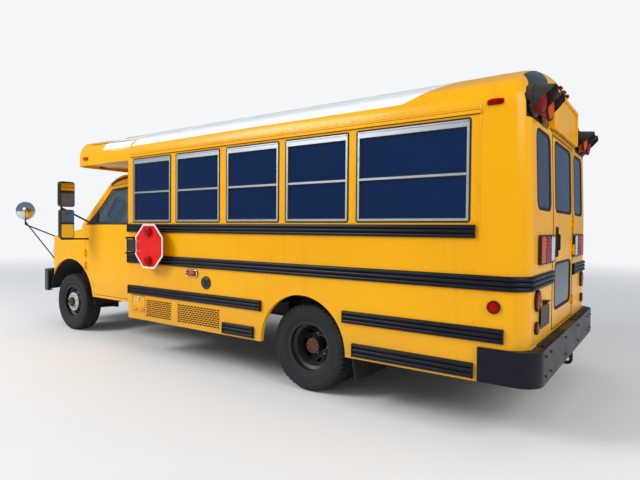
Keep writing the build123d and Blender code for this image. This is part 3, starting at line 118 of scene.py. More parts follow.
def blended(tree, share, base, other):
    """Two colours mixed by a share. Each is a socket or an sRGB hex code."""
    base, other = [linear(colour) if isinstance(colour, str) else colour for colour in (base, other)]
    return add_node(tree, "ShaderNodeMix", {"data_type": "RGBA"}, {"Factor": share, 6: base, 7: other}).outputs[2]


def noise(tree, place, scale, detail, **more):
    return add_node(tree, "ShaderNodeTexNoise",
                    inputs={"Vector": place, "Scale": scale, "Detail": detail, **more}).outputs["Fac"]


def computed(tree, operation, first, second, **settings):
    return add_node(tree, "ShaderNodeMath", {"operation": operation, **settings}, {0: first, 1: second}).outputs[0]


def relief(tree, height, strength, depth, **more):
    """A bump from a height, whose strength and depth are the node's own."""
    return add_node(tree, "ShaderNodeBump",
                    inputs={"Height": height, "Strength": strength, "Distance": depth, **more}).outputs[0]


def new_finish(name, **shader_inputs):
    """A material with its tree, its shader and the object's own coordinates to draw patterns from."""
    finish = bpy.data.materials.new(name)
    finish.use_nodes = True
    tree = finish.node_tree
    tree.nodes.clear()
    shader = add_node(tree, "ShaderNodeBsdfPrincipled")
    for socket, value in shader_inputs.items():
        shader.inputs[socket.replace("_", " ")].default_value = value
    add_node(tree, "ShaderNodeOutputMaterial", inputs={"Surface": shader.outputs["BSDF"]})
    place = add_node(tree, "ShaderNodeTexCoord").outputs["Object"]
    return finish, tree, shader, place


floor_finish, tree, shader, place = new_finish("studio_floor_paint", Base_Color=linear("#E9E9E7"), Roughness=0.8)
tree.links.new(ranged(tree, noise(tree, place, 3.0, 3.0), 0.0, 1.0, 0.72, 0.88), shader.inputs["Roughness"])
# far off, the floor fades into the white backdrop for the camera alone; it lights nothing
backdrop = linear("#F4F6F8")
fade_start, fade_end, floor_half = 5.0, 22.0, 60
distance = add_node(tree, "ShaderNodeVectorMath", {"operation": "LENGTH"}, {0: place}).outputs["Value"]
faded = ranged(tree, distance, fade_start, fade_end, interpolation_type="SMOOTHSTEP")
watched = add_node(tree, "ShaderNodeLightPath").outputs["Is Camera Ray"]
far_floor = add_node(tree, "ShaderNodeEmission", inputs={"Color": backdrop})
whole_floor = add_node(tree, "ShaderNodeMixShader", inputs={0: computed(tree, "MULTIPLY", faded, watched),
                                                            1: shader.outputs["BSDF"], 2: far_floor.outputs[0]})
tree.links.new(whole_floor.outputs[0], tree.nodes["Material Output"].inputs["Surface"])
floor_mesh = bpy.data.meshes.new("studio_floor")
floor_mesh.from_pydata([(-floor_half, -floor_half, 0), (floor_half, -floor_half, 0), (floor_half, floor_half, 0),
                        (-floor_half, floor_half, 0)], [], [(0, 1, 2, 3)])
floor_mesh.materials.append(floor_finish)
studio_floor = placed("studio_floor", floor_mesh)
studio_floor.location.z = -0.002
studio_floor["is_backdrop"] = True

world = bpy.data.worlds.new("studio")
world.use_nodes = True
scene.world = world
sky = world.node_tree
sky.nodes.clear()
soft_light = add_node(sky, "ShaderNodeBackground", inputs={"Color": linear("#EEF3FA"), "Strength": 0.60})
mirrored = add_node(sky, "ShaderNodeBackground", inputs={"Color": linear("#AFC4DE"), "Strength": 0.42})
seen = add_node(sky, "ShaderNodeBackground", inputs={"Color": backdrop, "Strength": 1.0})
light_path = add_node(sky, "ShaderNodeLightPath")
straight = computed(sky, "MAXIMUM", light_path.outputs["Is Camera Ray"], light_path.outputs["Is Transmission Ray"])
lighting = add_node(sky, "ShaderNodeMixShader", inputs={0: light_path.outputs["Is Glossy Ray"],
                                                        1: soft_light.outputs[0], 2: mirrored.outputs[0]})
mixed = add_node(sky, "ShaderNodeMixShader", inputs={0: straight, 1: lighting.outputs[0], 2: seen.outputs[0]})
add_node(sky, "ShaderNodeOutputWorld", inputs={"Surface": mixed.outputs[0]})

lamp_rows = [
    # name, place, size, power
    ("key_softbox", (7.0, 10.0, 9.0), 6.0, 1350.0),
    ("rear_softbox", (-10.0, 3.0, 6.0), 5.0, 420.0),
]
for name, spot, size, power in lamp_rows:
    lamp_data = bpy.data.lights.new(name, "AREA")
    lamp_data.size = size
    lamp_data.energy = power
    lamp = placed(name, lamp_data)
    lamp.location = spot
    lamp.rotation_mode = "QUATERNION"
    lamp.rotation_quaternion = (Vector((0, 0, 1.2)) - Vector(spot)).to_track_quat("-Z", "Y")


# Body panels: steel sheet in school bus yellow enamel, sprayed and baked. It is glossy with a faint orange peel,
# a little faded in patches, dusty towards the skirts and streaked below the windows, with a few rust specks.
def worn_enamel(name, fresh, faded):
    streak_brown, road_dust, rust_brown = "#A87A22", "#8C7A5C", "#6B3A17"
    dust_top, dust_full, dust_share = 0.75, 0.3, 0.5
    finish, tree, shader, place = new_finish(name, Roughness=0.3, Coat_Weight=0.06, Coat_Roughness=0.1,
                                             Specular_IOR_Level=0.22)
    colour = blended(tree, ranged(tree, noise(tree, place, 0.9, 3.0), 0.35, 0.7), fresh, faded)
    streak_place = add_node(tree, "ShaderNodeMapping", inputs={"Vector": place, "Scale": (14, 14, 0.7)})
    streaks = ranged(tree, noise(tree, streak_place.outputs[0], 1.0, 4.0), 0.56, 0.8, 0.0, 0.22)
    colour = blended(tree, streaks, colour, streak_brown)
    height = add_node(tree, "ShaderNodeSeparateXYZ", inputs={0: place}).outputs["Z"]
    grime = computed(tree, "MULTIPLY", ranged(tree, height, dust_top, dust_full, 0.0, dust_share),
                     noise(tree, place, 7.0, 6.0, Roughness=0.65))
    colour = blended(tree, grime, colour, road_dust)
    cells = add_node(tree, "ShaderNodeTexVoronoi", inputs={"Vector": place, "Scale": 2.6, "Randomness": 1.0})
    colour = blended(tree, ranged(tree, cells.outputs["Distance"], 0.012, 0.006), colour, rust_brown)
    tree.links.new(colour, shader.inputs["Base Color"])
    tree.links.new(ranged(tree, grime, 0.0, 0.4, 0.27, 0.7), shader.inputs["Roughness"])
    # real orange peel is under a millimetre; this is drawn at 6 mm so that it shows, over long shallow dents
    shallow = relief(tree, noise(tree, place, 2.2, 1.0), 0.25, 0.02)
    peel = relief(tree, noise(tree, place, 160.0, 1.0), 0.06, 0.001, Normal=shallow)
    tree.links.new(peel, shader.inputs["Normal"])
    return finish, tree, shader, place, colour


def dress(finish, *names):
    for name in names:
        nodes[name].data.materials.clear()
        nodes[name].data.materials.append(finish)


fresh_yellow, faded_yellow = "#F2AE00", "#E8A200"
yellow_enamel = worn_enamel("school_bus_yellow_enamel", fresh_yellow, faded_yellow)[0]
dress(yellow_enamel, "wall_left", "wall_right", "front_wall", "cab_shell", "entrance_portal", "fenders", "hood",
      "driver_door", "entrance_leaf_front", "entrance_leaf_rear", "emergency_door", "skirt_door", "sign_boxes",
      "skirt_grilles")

# Roof: one steel skin, yellow on the shoulders and white on top. The white ends short of the rear cap and part of
# the way over the front cap. It is a heat-reflecting coat, brushed up to a masked edge.
white_coat, edge_height, edge_width = "#EDEFF0", 2.272, 0.006
roof_enamel, tree, shader, place, yellow = worn_enamel("roof_enamel_white_over_yellow", fresh_yellow, faded_yellow)
axes = add_node(tree, "ShaderNodeSeparateXYZ", inputs={0: place}).outputs
front_fall = ranged(tree, axes["X"], 0.6 + axle_x, 2.4 + axle_x, 0.0, -0.012)
rear_sweep = ranged(tree, axes["X"], -0.85 + axle_x, -1.50 + axle_x, 0.0, 0.42, interpolation_type="SMOOTHSTEP")
above = computed(tree, "SUBTRACT", axes["Z"], computed(tree, "ADD", front_fall, rear_sweep))
white_share = computed(tree, "MULTIPLY", ranged(tree, above, edge_height, edge_height + edge_width),
                       ranged(tree, axes["X"], 2.91 + axle_x, 2.90 + axle_x))
tree.links.new(blended(tree, white_share, yellow, white_coat), shader.inputs["Base Color"])
dress(roof_enamel, "roof", "front_cap", "rear_cap")

# Rivets and screws: aluminium dome rivets hold the panels to the posts and bows, painted over with them. They
# stand in rows beside each seam, up the window posts and round the rear door.
def at(x, y, z):
    """A place counted forward from the rear axle, to the left and up from the ground."""
    return Vector((x + axle_x, y, z))


# meshes that the scene has changed, by the node that they stand for
reshaped = {}


def taken_apart(mesh):
    """A mesh's corners and faces."""
    return [vert.co.copy() for vert in mesh.vertices], [list(face.vertices) for face in mesh.polygons]


def surface_of(*names):
    """The surface of some nodes, or of what stands for them, to set small pieces on."""
    return BVHTree.FromPolygons(*joined([taken_apart(reshaped.get(name, nodes[name].data)) for name in names]))


def landed(surface, spot, towards):
    """Where a line from a spot first meets a surface, with the surface's direction there."""
    hit, facing, _, _ = surface.ray_cast(Vector(spot), Vector(towards))
    if hit is not None and facing.dot(Vector(towards)) > 0:
        facing = -facing
    return hit, facing


def landed_all(surface, spots, towards):
    """The same for several spots in one direction, as hits and facings, without those that miss."""
    found = [landed(surface, spot, towards) for spot in spots]
    return ([hit for hit, _ in found if hit is not None], [facing for hit, facing in found if hit is not None])


def built(corners, faces):
    """A closed mesh from corners and faces, with its faces turned outwards."""
    mesh = bpy.data.meshes.new("piece")
    mesh.from_pydata([tuple(corner) for corner in corners], [], faces)
    work = bmesh.new()
    work.from_mesh(mesh)
    bmesh.ops.recalc_face_normals(work, faces=work.faces)
    work.to_mesh(mesh)
    work.free()
    return mesh


def lathed(profile, sides=32, spot=(0, 0, 0), axis=(0, 0, 1)):
    """Corners and faces of a form turned about an axis, from (height along it, radius) rows, closed at both ends."""
    turn = Vector((0, 0, 1)).rotation_difference(Vector(axis)).to_matrix()
    corners = []
    for height, radius in profile:
        for side in range(sides):
            angle = tau * side / sides
            corners.append(turn @ Vector((radius * cos(angle), radius * sin(angle), height)) + Vector(spot))
    faces = []
    for row in range(len(profile) - 1):
        for side in range(sides):
            after = (side + 1) % sides
            faces.append([row * sides + side, row * sides + after, (row + 1) * sides + after,
                          (row + 1) * sides + side])
    last = (len(profile) - 1) * sides
    faces += [list(range(sides))[::-1], list(range(last, last + sides))]
    return corners, faces


def joined(parts):
    """Several (corners, faces) pairs as one."""
    corners, faces = [], []
    for part_corners, part_faces in parts:
        first = len(corners)
        corners += part_corners
        faces += [[first + i for i in face] for face in part_faces]
    return corners, faces


def finished(name, mesh, finish, body, smooth=None):
    """Makes a mesh a piece of the bus: its finish and the body it rides on."""
    piece = placed(name, mesh)
    mesh.name = name
    mesh.materials.clear()
    mesh.materials.append(finish)
    # heads and beads along the roof's crown are pressed flat there, so the bus is no taller for them
    for vert in mesh.vertices:
        if vert.co.z > cad_high[2] - 0.0001:
            vert.co.z = cad_high[2] - 0.0001
    if smooth:
        mesh.polygons.foreach_set("use_smooth", [True] * len(mesh.polygons))
        mesh.set_sharp_from_angle(angle=radians(smooth))
    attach(piece, body)
    return piece


def made(name, parts, finish, smooth=40, body="bus"):
    """Makes (corners, faces) pairs one piece of the bus, or of one of its moving bodies."""
    return finished(name, built(*joined(parts)), finish, body, smooth)


set_tree = bpy.data.node_groups.new("set_out_pieces", "GeometryNodeTree")
for label, kind in {"Places": "Geometry", "Piece": "Object", "Finish": "Material"}.items():
    set_tree.interface.new_socket(name=label, in_out="INPUT", socket_type="NodeSocket" + kind)
set_tree.interface.new_socket(name="Pieces", in_out="OUTPUT", socket_type="NodeSocketGeometry")
given = add_node(set_tree, "NodeGroupInput").outputs
facing, along, size = [
    add_node(set_tree, "GeometryNodeInputNamedAttribute", {"data_type": "FLOAT_VECTOR"}, {"Name": name}).outputs[0]
    for name in ("facing", "along", "size")]
upright = add_node(set_tree, "FunctionNodeAlignRotationToVector", {"axis": "Z"}, {"Vector": facing})
turned = add_node(set_tree, "FunctionNodeAlignRotationToVector", {"axis": "X", "pivot_axis": "Z"},
                  {"Rotation": upright.outputs[0], "Vector": along})
piece = add_node(set_tree, "GeometryNodeObjectInfo", inputs={"Object": given["Piece"]})
copies = add_node(set_tree, "GeometryNodeInstanceOnPoints",
                  inputs={"Points": given["Places"], "Instance": piece.outputs["Geometry"],
                          "Rotation": turned.outputs[0], "Scale": size})
copies = add_node(set_tree, "GeometryNodeRealizeInstances", inputs={"Geometry": copies.outputs[0]})
copies = add_node(set_tree, "GeometryNodeSetMaterial", inputs={"Geometry": copies.outputs[0],
                                                               "Material": given["Finish"]})
add_node(set_tree, "NodeGroupOutput", inputs={"Pieces": copies.outputs[0]})


def set_out(name, part, places, finish, body, smooth=40):
    """Copies of one small form at places of (spot, facing, along, size), grown once and kept as one mesh."""
    model = bpy.data.objects.new("model", built(*part))
    host_mesh = bpy.data.meshes.new("places")
    host_mesh.from_pydata([tuple(place[0]) for place in places], [], [])
    for column, label in enumerate(("facing", "along", "size"), 1):
        layer = host_mesh.attributes.new(label, "FLOAT_VECTOR", "POINT")
        layer.data.foreach_set("vector", [part for place in places for part in place[column]])
    host = placed("host", host_mesh)
    modifier = host.modifiers.new("set_out", "NODES")
    modifier.node_group = set_tree
    values = {"Piece": model, "Finish": finish}
    for item in set_tree.interface.items_tree:
        if item.in_out == "INPUT" and item.name in values:
            modifier[item.identifier] = values[item.name]
    mesh = bpy.data.meshes.new_from_object(host.evaluated_get(bpy.context.evaluated_depsgraph_get()))
    host.modifiers.remove(modifier)
    bpy.data.objects.remove(host)
    bpy.data.objects.remove(model)
    return finished(name, mesh, finish, body, smooth)


def row_of_places(surface, start, end, pitch, towards, size=(1, 1, 1)):
    """Evenly spaced places between two spots, landed on a surface."""
    start, end = Vector(start), Vector(end)
    count = max(1, round((end - start).length / pitch))
    spots = [start.lerp(end, index / count) for index in range(count + 1)]
    return [(hit, facing, end - start, size) for hit, facing in zip(*landed_all(surface, spots, towards))]


def one_place(surface, spot, towards, along=(1, 0, 0)):
    """One place under a spot, for a small form to stand on."""
    return (*landed(surface, spot, towards), along, (1, 1, 1))


left, right, down, rearward, forward = (0, -1, 0), (0, 1, 0), (0, 0, -1), (-1, 0, 0), (1, 0, 0)
sides = ((1, left), (-1, right))
# places well clear of the bus, to look at its surfaces from
beside, behind_bus, ahead_of_bus, above_bus = 1.6, -3, 6, 3
# where the body's walls and rear face lie, and the wheels' centres
wall_y, rear_x, front_axle, axle_height = 1.219, -1.770, 4.039, 0.372
rivet = lathed([(-0.001, 0.0055), (0.0008, 0.0055), (0.0022, 0.0040), (0.0028, 0.0016)], 8)

# the visor over the cab is one moulding, squarer at its corners in plan than the solid: its corners are drawn out
corner_x, corner_y, corner_was, corner_now = 2.900 + axle_x, 0.599, 0.620, 0.170
# above this height the drawn-out corner rounds away again, over this much, by at most this much
rounding_start, rounding_height, rounding_most = 2.23, 0.23, 0.30
moulding = bmesh.new()
moulding.from_mesh(nodes["front_cap"].data)
bmesh.ops.remove_doubles(moulding, verts=moulding.verts, dist=1e-5)
cuts = [((0, 0, z), (0, 0, 1)) for z in (2.24, 2.28, 2.32, 2.35, 2.38, 2.40, 2.42, 2.435, 2.45, 2.46)]
for side, _ in sides:
    cuts += [((corner_x, side * corner_y, 0), (sin(radians(angle)), -side * cos(radians(angle)), 0))
             for angle in range(33, 58, 3)]
for spot, facing in cuts:
    bmesh.ops.bisect_plane(moulding, geom=moulding.verts[:] + moulding.edges[:] + moulding.faces[:], dist=1e-6,
                           plane_co=spot, plane_no=facing)
for vert in moulding.verts:
    ahead_of, outside = vert.co.x - corner_x, abs(vert.co.y) - corner_y
    if ahead_of > 0.001 and outside > 0.001:
        reach = hypot(ahead_of, outside)
        straight_part = corner_was - corner_now
        c, s = ahead_of / reach, outside / reach
        if straight_part * max(s / c, c / s) >= corner_was:
            wanted = corner_was / max(c, s)
        else:
            along = straight_part * (c + s)
            wanted = along + (along**2 - 2 * straight_part**2 + corner_now**2) ** 0.5
        rise = min(max(0, (vert.co.z - rounding_start) / rounding_height), 1)
        drawn_in = rounding_most * (1 - (1 - rise**2) ** 0.5) * min(1, 4 * s * c)
        grown = (wanted - drawn_in) / corner_was
        vert.co.x = corner_x + ahead_of * grown
        vert.co.y = (corner_y + outside * grown) * (1 if vert.co.y > 0 else -1)
reshaped["front_cap"] = bpy.data.meshes.new("front_cap_moulding")
moulding.to_mesh(reshaped["front_cap"])
moulding.free()
visor_piece = finished("front_cap_moulding", reshaped["front_cap"], roof_enamel, "bus", 35)
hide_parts("front_cap")

body_surface = surface_of("wall_left", "wall_right", "roof", "rear_cap", "front_cap", "front_wall")
# the roof bows, and the height that rivets run up the window posts
bow_places, post_low, post_high = (-0.49, 0.204, 0.916, 1.63), 1.46, 2.10
side_rows = [
    # x and z at the start, x and z at the end, pitch
    (-1.430, 0.43, -1.430, 2.12, 0.085),
    (-1.505, 0.66, -1.505, 2.12, 0.085),
    *[(x, post_low, x, post_high, 0.16) for x in (1.612, 1.652, 0.894, 0.940, 0.184, 0.224, -0.512, -0.472)],
    (2.372, 0.43, 2.372, 2.12, 0.12),
    (-1.40, 2.202, 2.34, 2.202, 0.07),
    (-1.40, 1.425, 2.34, 1.425, 0.18),
    (-1.42, 0.392, -0.50, 0.392, 0.15),
    (0.52, 0.392, 2.34, 0.392, 0.15),
    (2.44, 2.123, 3.30, 2.123, 0.06),
]
places = []
for x_start, z_start, x_end, z_end, pitch in side_rows:
    for side, towards in sides:
        places += row_of_places(body_surface, at(x_start, beside * side, z_start), at(x_end, beside * side, z_end),
                                pitch, towards)
for x in (-1.43, *bow_places, 2.35):
    places += row_of_places(body_surface, at(x, -1.05, above_bus), at(x, 1.05, above_bus), 0.1, down)
for y in (-0.465, 0.465):
    places += row_of_places(body_surface, at(behind_bus, y, 0.66), at(behind_bus, y, 2.05), 0.13, forward)
places += row_of_places(body_surface, at(behind_bus, -1.0, 0.632), at(behind_bus, 1.0, 0.632), 0.1, forward)
set_out("body_rivets", rivet, places, roof_enamel, "bus")


# Seams: each body panel laps the next, and the laps are filled with sealant and painted over. The roof bows show
# as pressed seams from eave to eave, and the front and rear caps end in a narrow lip.
def swept(path, facings, section, closed=True):
    """A band along a path. Its section is rows of (across the path, out from the surface)."""
    corners, faces = [], []
    count, width = len(path), len(section)
    for index in range(count):
        before = path[index - 1] if closed or index else path[index]
        after = path[(index + 1) % count] if closed or index + 1 < count else path[index]
        facing = Vector(facings[index]).normalized()
        side = facing.cross((after - before).normalized()).normalized()
        corners += [path[index] + side * across + facing * out for across, out in section]
    for index in range(count if closed else count - 1):
        here, there = index * width, (index + 1) % count * width
        for step in range(width):
            after = (step + 1) % width
            faces.append([here + step, here + after, there + after, there + step])
    if not closed:
        faces += [list(range(width)), list(range((count - 1) * width, count * width))[::-1]]
    return corners, faces


def bead(width, height):
    """The section of a low rounded bead."""
    half = width / 2
    return [(-half, -0.001), (half, -0.001), (half, height * 0.45), (half * 0.45, height), (-half * 0.45, height),
            (-half, height * 0.45)]


def landed_path(surface, points, towards, step=0.05, closed=False):
    """A line through points, landed on a surface every step of its length."""
    corners = [Vector(point) for point in points]
    if closed:
        corners.append(corners[0])
    spots = []
    for start, end in zip(corners, corners[1:]):
        count = max(1, round((end - start).length / step))
        spots += [start.lerp(end, index / count) for index in range(count)]
    return landed_all(surface, spots if closed else spots + [corners[-1]], towards)


def laid_bead(surface, points, towards, step, section, closed=False):
    """A band along a line through points, landed on a surface."""
    return swept(*landed_path(surface, points, towards, step, closed), section, closed)


def section_line(x, z_low):
    """The body's outline across the bus at one place along it, from one skirt over the roof to the other."""
    steps, reach, middle_height = 48, 2.4, 1.25
    spots, facings = [], []
    for index in range(steps + 1):
        angle = pi * index / steps
        ray_start = at(x, reach * cos(angle), middle_height + reach * sin(angle))
        hit, facing = landed(body_surface, ray_start, Vector((0, -cos(angle), -sin(angle))))
        if hit is not None and hit.z > z_low:
            spots.append(hit)
            facings.append(facing)
    return spots, facings


seams, wall_seam_low, roof_seam_low = [], 1.3, 2.16
for x in (-1.468, *bow_places, 2.398):
    low = roof_seam_low if x in bow_places else wall_seam_low
    seams.append(swept(*section_line(x, low), bead(0.012, 0.003), closed=False))
for side, towards in sides:
    for z in (2.183, 1.428):
        seams.append(laid_bead(body_surface, [at(-1.46, beside * side, z), at(2.39, beside * side, z)], towards, 0.3,
                               bead(0.008, 0.0025)))
made("panel_seams", seams, roof_enamel, 50)


# Side windows: mill-finish aluminium split-sash frames under a bright header, with black glazing rubber, a rubber
# seal against the body and two finger latches on each half-height bar. The glass is a dark blue tint.
def mottled(name, base, other, scale, rough_low, rough_high, bump=0.0, bump_scale=60.0, stretch=(1, 1, 1), dust=0.0,
            **shader_inputs):
    """A finish that drifts between two shades and two roughnesses, with a fine bump and dust on what faces up."""
    finish, tree, shader, place = new_finish(name, **shader_inputs)
    drawn = add_node(tree, "ShaderNodeMapping", inputs={"Vector": place, "Scale": stretch})
    drift = noise(tree, drawn.outputs[0], scale, 5.0, Roughness=0.6)
    colour = blended(tree, ranged(tree, drift, 0.35, 0.68), base, other)
    rough = ranged(tree, drift, 0.3, 0.7, rough_low, rough_high)
    if dust:
        normal = add_node(tree, "ShaderNodeNewGeometry").outputs["Normal"]
        up = add_node(tree, "ShaderNodeSeparateXYZ", inputs={0: normal}).outputs["Z"]
        amount = computed(tree, "MULTIPLY", ranged(tree, up, -0.1, 0.9, 0.0, dust), noise(tree, place, 9.0, 6.0),
                          use_clamp=True)
        colour = blended(tree, amount, colour, "#9C8A6C")
        rough = add_node(tree, "ShaderNodeMath", {"operation": "MULTIPLY_ADD"},
                         {0: amount, 1: 0.5, 2: rough}).outputs[0]
    tree.links.new(colour, shader.inputs["Base Color"])
    tree.links.new(rough, shader.inputs["Roughness"])
    if bump:
        grain = noise(tree, drawn.outputs[0], bump_scale, 3.0)
        tree.links.new(relief(tree, grain, 0.4, bump), shader.inputs["Normal"])
    return finish


# anodised and mill aluminium, brushed along the bus
aluminium = mottled("mill_aluminium", "#C9CCCE", "#B4B8BB", 2.0, 0.3, 0.48, 0.0004, 30.0, (2, 2, 40), Metallic=1.0)
# EPDM glazing rubber, matt and slightly greyed
black_rubber = mottled("glazing_rubber", "#0B0B0C", "#161616", 12.0, 0.55, 0.75, 0.0005, 120.0)
# tempered glass with a dark blue-grey tint right through
tinted_glass = mottled("dark_tinted_glass", "#0A2A5A", "#0F3166", 0.7, 0.01, 0.03, IOR=1.5, Transmission_Weight=0.5,
                       Specular_IOR_Level=0.35)
clear_glass = mottled("light_tinted_glass", "#A3C4DE", "#AECBE2", 0.7, 0.01, 0.03, IOR=1.5, Transmission_Weight=0.92)
dress(aluminium, "window_frames")
dress(tinted_glass, "body_glass", "emergency_door_glass")
dress(clear_glass, "windscreen", "driver_door_glass", "entrance_glass_front", "entrance_glass_rear")

window_spans = [(-1.395, -0.538), (-0.447, 0.158), (0.249, 0.863), (0.969, 1.581), (1.680, 2.300)]
frame_low, frame_high, frame_face, header_face = 1.437, 2.106, 0.016, 0.046
bar_middle = (frame_low + frame_high - header_face) / 2


def rounded_loop(u_low, u_high, v_low, v_high, radius, per_corner=4):
    """Points round a rectangle with rounded corners."""
    points = []
    for u, v, start in ((u_high - radius, v_high - radius, 0), (u_low + radius, v_high - radius, 90),
                        (u_low + radius, v_low + radius, 180), (u_high - radius, v_low + radius, 270)):
        for step in range(per_corner + 1):
            angle = radians(start + 90 * step / per_corner)
            points.append((u + radius * cos(angle), v + radius * sin(angle)))
    return points


def band(points, level, facing, section):
    """A closed band round flat points, which lie at one level along the way that they face."""
    spots = [at(level, u, v) if facing[0] else at(u, level, v) for u, v in points]
    return swept(spots, [facing] * len(points), section)


def box_part(low, high, bevel=0.003):
    """A box with its edges broken, from its lowest to its highest corner."""
    work = bmesh.new()
    size = Vector(high) - Vector(low)
    bmesh.ops.create_cube(work, size=1, matrix=Matrix.Translation((Vector(low) + Vector(high)) / 2)
                          @ Matrix.Diagonal((*size, 1)))
    bmesh.ops.bevel(work, geom=list(work.edges), offset=min(bevel, min(size) * 0.4), segments=2, affect="EDGES")
    work.verts.index_update()
    part = ([v.co.copy() for v in work.verts], [[v.index for v in face.verts] for face in work.faces])
    work.free()
    return part


seals, rubbers, latches = [], [], []
frame_screws = []
for side, _ in sides:
    out = Vector((0, side, 0))
    for back, front in window_spans:
        edge = rounded_loop(back - 0.006, front + 0.006, frame_low - 0.006, frame_high + 0.006, 0.012)
        seals.append(band(edge, side * wall_y, out, bead(0.014, 0.005)))
        for low, high in ((frame_low + frame_face, bar_middle - frame_face / 2),
                          (bar_middle + frame_face / 2, frame_high - header_face)):
            edge = rounded_loop(back + frame_face + 0.003, front - frame_face - 0.003, low + 0.003, high - 0.003,
                                0.012)
            rubbers.append(band(edge, side * 1.2052, out, bead(0.011, 0.006)))
        lip = landed_path(surface_of("window_frames"), [at(back + 0.01, side * beside, frame_high - 0.006),
                                                        at(front - 0.01, side * beside, frame_high - 0.006)],
                          (0, -side, 0), 0.3)
        latches.append(swept(*lip, [(-0.004, -0.001), (0.004, -0.001), (0.004, 0.006), (-0.004, 0.006)], False))
        for share in (0.3, 0.7):
            x = back + (front - back) * share
            latches.append(box_part(at(x - 0.022, side * 1.176 - 0.012, bar_middle - 0.004),
                                    at(x + 0.022, side * 1.176 + 0.012, bar_middle + 0.013)))
        for x in (back + 0.008, front - 0.008):
            for z in (frame_low + 0.05, frame_low + 0.28, frame_high - 0.2, frame_high - 0.06):
                frame_screws.append((at(x, side * 1.223, z), out, (1, 0, 0), (0.8, 0.8, 0.8)))
made("window_body_seals", seals, black_rubber, 60)
made("window_glazing_rubbers", rubbers, black_rubber, 60)
made("window_lips_and_latches", latches, aluminium)
set_out("window_frame_screws", rivet, frame_screws, aluminium, "bus")

# Rub rails: steel strips with three round ribs in blue-black enamel, screwed to the wall through the valleys. A little
# dust lies along the top of each rib, and each free end has a folded cap.
rail_enamel = mottled("black_gloss_enamel", "#070A16", "#0B0F1E", 3.0, 0.3, 0.42, 0.0003, 90.0, dust=0.03,
                      Specular_IOR_Level=0.22)
dress(rail_enamel, "rub_rails", "belt_rails", "rear_bumper")
rail_rows = [
    # low edge, high edge, back end, front end, rear end has a cap too
    (1.322, 1.411, -1.440, 2.395, True),
    (0.984, 1.082, -1.500, 2.395, False),
    (0.647, 0.742, 0.435, 2.380, True),
    (0.647, 0.742, -1.630, -0.421, True),
    (0.396, 0.499, 0.521, 0.902, True),
    (0.396, 0.499, -1.438, -0.512, True),
]
rail_surface = surface_of("rub_rails", "belt_rails")
rail_back_y, rail_face_y, cap_half = 1.2192, 1.2428, 0.004
screws, caps = [], []
for low, high, back, front, back_cap in rail_rows:
    valley = low + (high - low) / 3
    for side, towards in sides:
        for z in (valley, valley + (high - low) / 3):
            screws += row_of_places(rail_surface, at(back + 0.06, beside * side, z),
                                    at(front - 0.06, beside * side, z), 0.3, towards)
        for x in ([back] if back_cap else []) + [front]:
            inner, outer = sorted((side * rail_back_y, side * rail_face_y))
            caps.append(box_part(at(x - cap_half, inner, low), at(x + cap_half, outer, high), 0.002))
set_out("rail_screws", rivet, screws, rail_enamel, "bus")
made("rail_end_caps", caps, rail_enamel)

# Drip rails: a folded lip along each eave, stuck on over a line of dark mastic.
mastic = []
for side, towards in sides:
    for z, width in ((2.162, 0.006), (2.134, 0.005)):
        mastic.append(laid_bead(body_surface, [at(-1.468, beside * side, z), at(2.358, beside * side, z)], towards,
                                0.3, bead(width, 0.0018)))
made("drip_rail_mastic", mastic, black_rubber, 60)

# Rear lamps: moulded acrylic lenses, ribbed inside, each in a black rubber gasket. The four rear warning lamps sit
# under deep black visors on gloss black panels, which keep them readable against the sky.
def lens_finish(name, colour, deep_and_glow):
    """Moulded acrylic over a ribbed back, seen as fine rings and rows in the colour and the surface. It also has a
    faint painted glow in its darker colour, though the lamps are not lit.
    """
    # the faint emission in the darker colour is a painted glow: the lamps behind these lenses are not lit
    finish, tree, shader, place = new_finish(name, Roughness=0.25, IOR=1.49, Specular_IOR_Level=0.12,
                                             Emission_Color=linear(deep_and_glow), Emission_Strength=0.15)
    cells = add_node(tree, "ShaderNodeMapping", inputs={"Vector": place, "Scale": (90, 90, 90)})
    waves = [add_node(tree, "ShaderNodeTexWave", {"bands_direction": direction},
                      {"Vector": cells.outputs[0], "Scale": 0.32}).outputs["Fac"] for direction in "ZY"]
    ribs = computed(tree, "MULTIPLY", *waves)
    tree.links.new(blended(tree, ribs, deep_and_glow, colour), shader.inputs["Base Color"])
    tree.links.new(relief(tree, ribs, 0.25, 0.002), shader.inputs["Normal"])
    return finish


red_lens = lens_finish("red_acrylic_lens", "#C00000", "#6E0000")
amber_lens = lens_finish("amber_acrylic_lens", "#FF5A00", "#A83800")
clear_lens = lens_finish("clear_acrylic_lens", "#E6E9EA", "#AEB4B6")
dress(red_lens, "lamps_red")
dress(amber_lens, "lamps_amber")
dress(clear_lens, "lamps_clear")
# moulded black ABS and polyethylene, satin with a fine grain
black_plastic = mottled("moulded_black_plastic", "#0E0E10", "#151517", 4.0, 0.34, 0.5, 0.0004, 260.0, dust=0.25)
dress(black_plastic, "lamp_hoods", "side_fittings", "mirror_arms", "door_mirror_arms", "grille")
chrome = mottled("bright_chrome", "#DADCDE", "#CDD0D2", 3.0, 0.05, 0.12, Metallic=1.0)

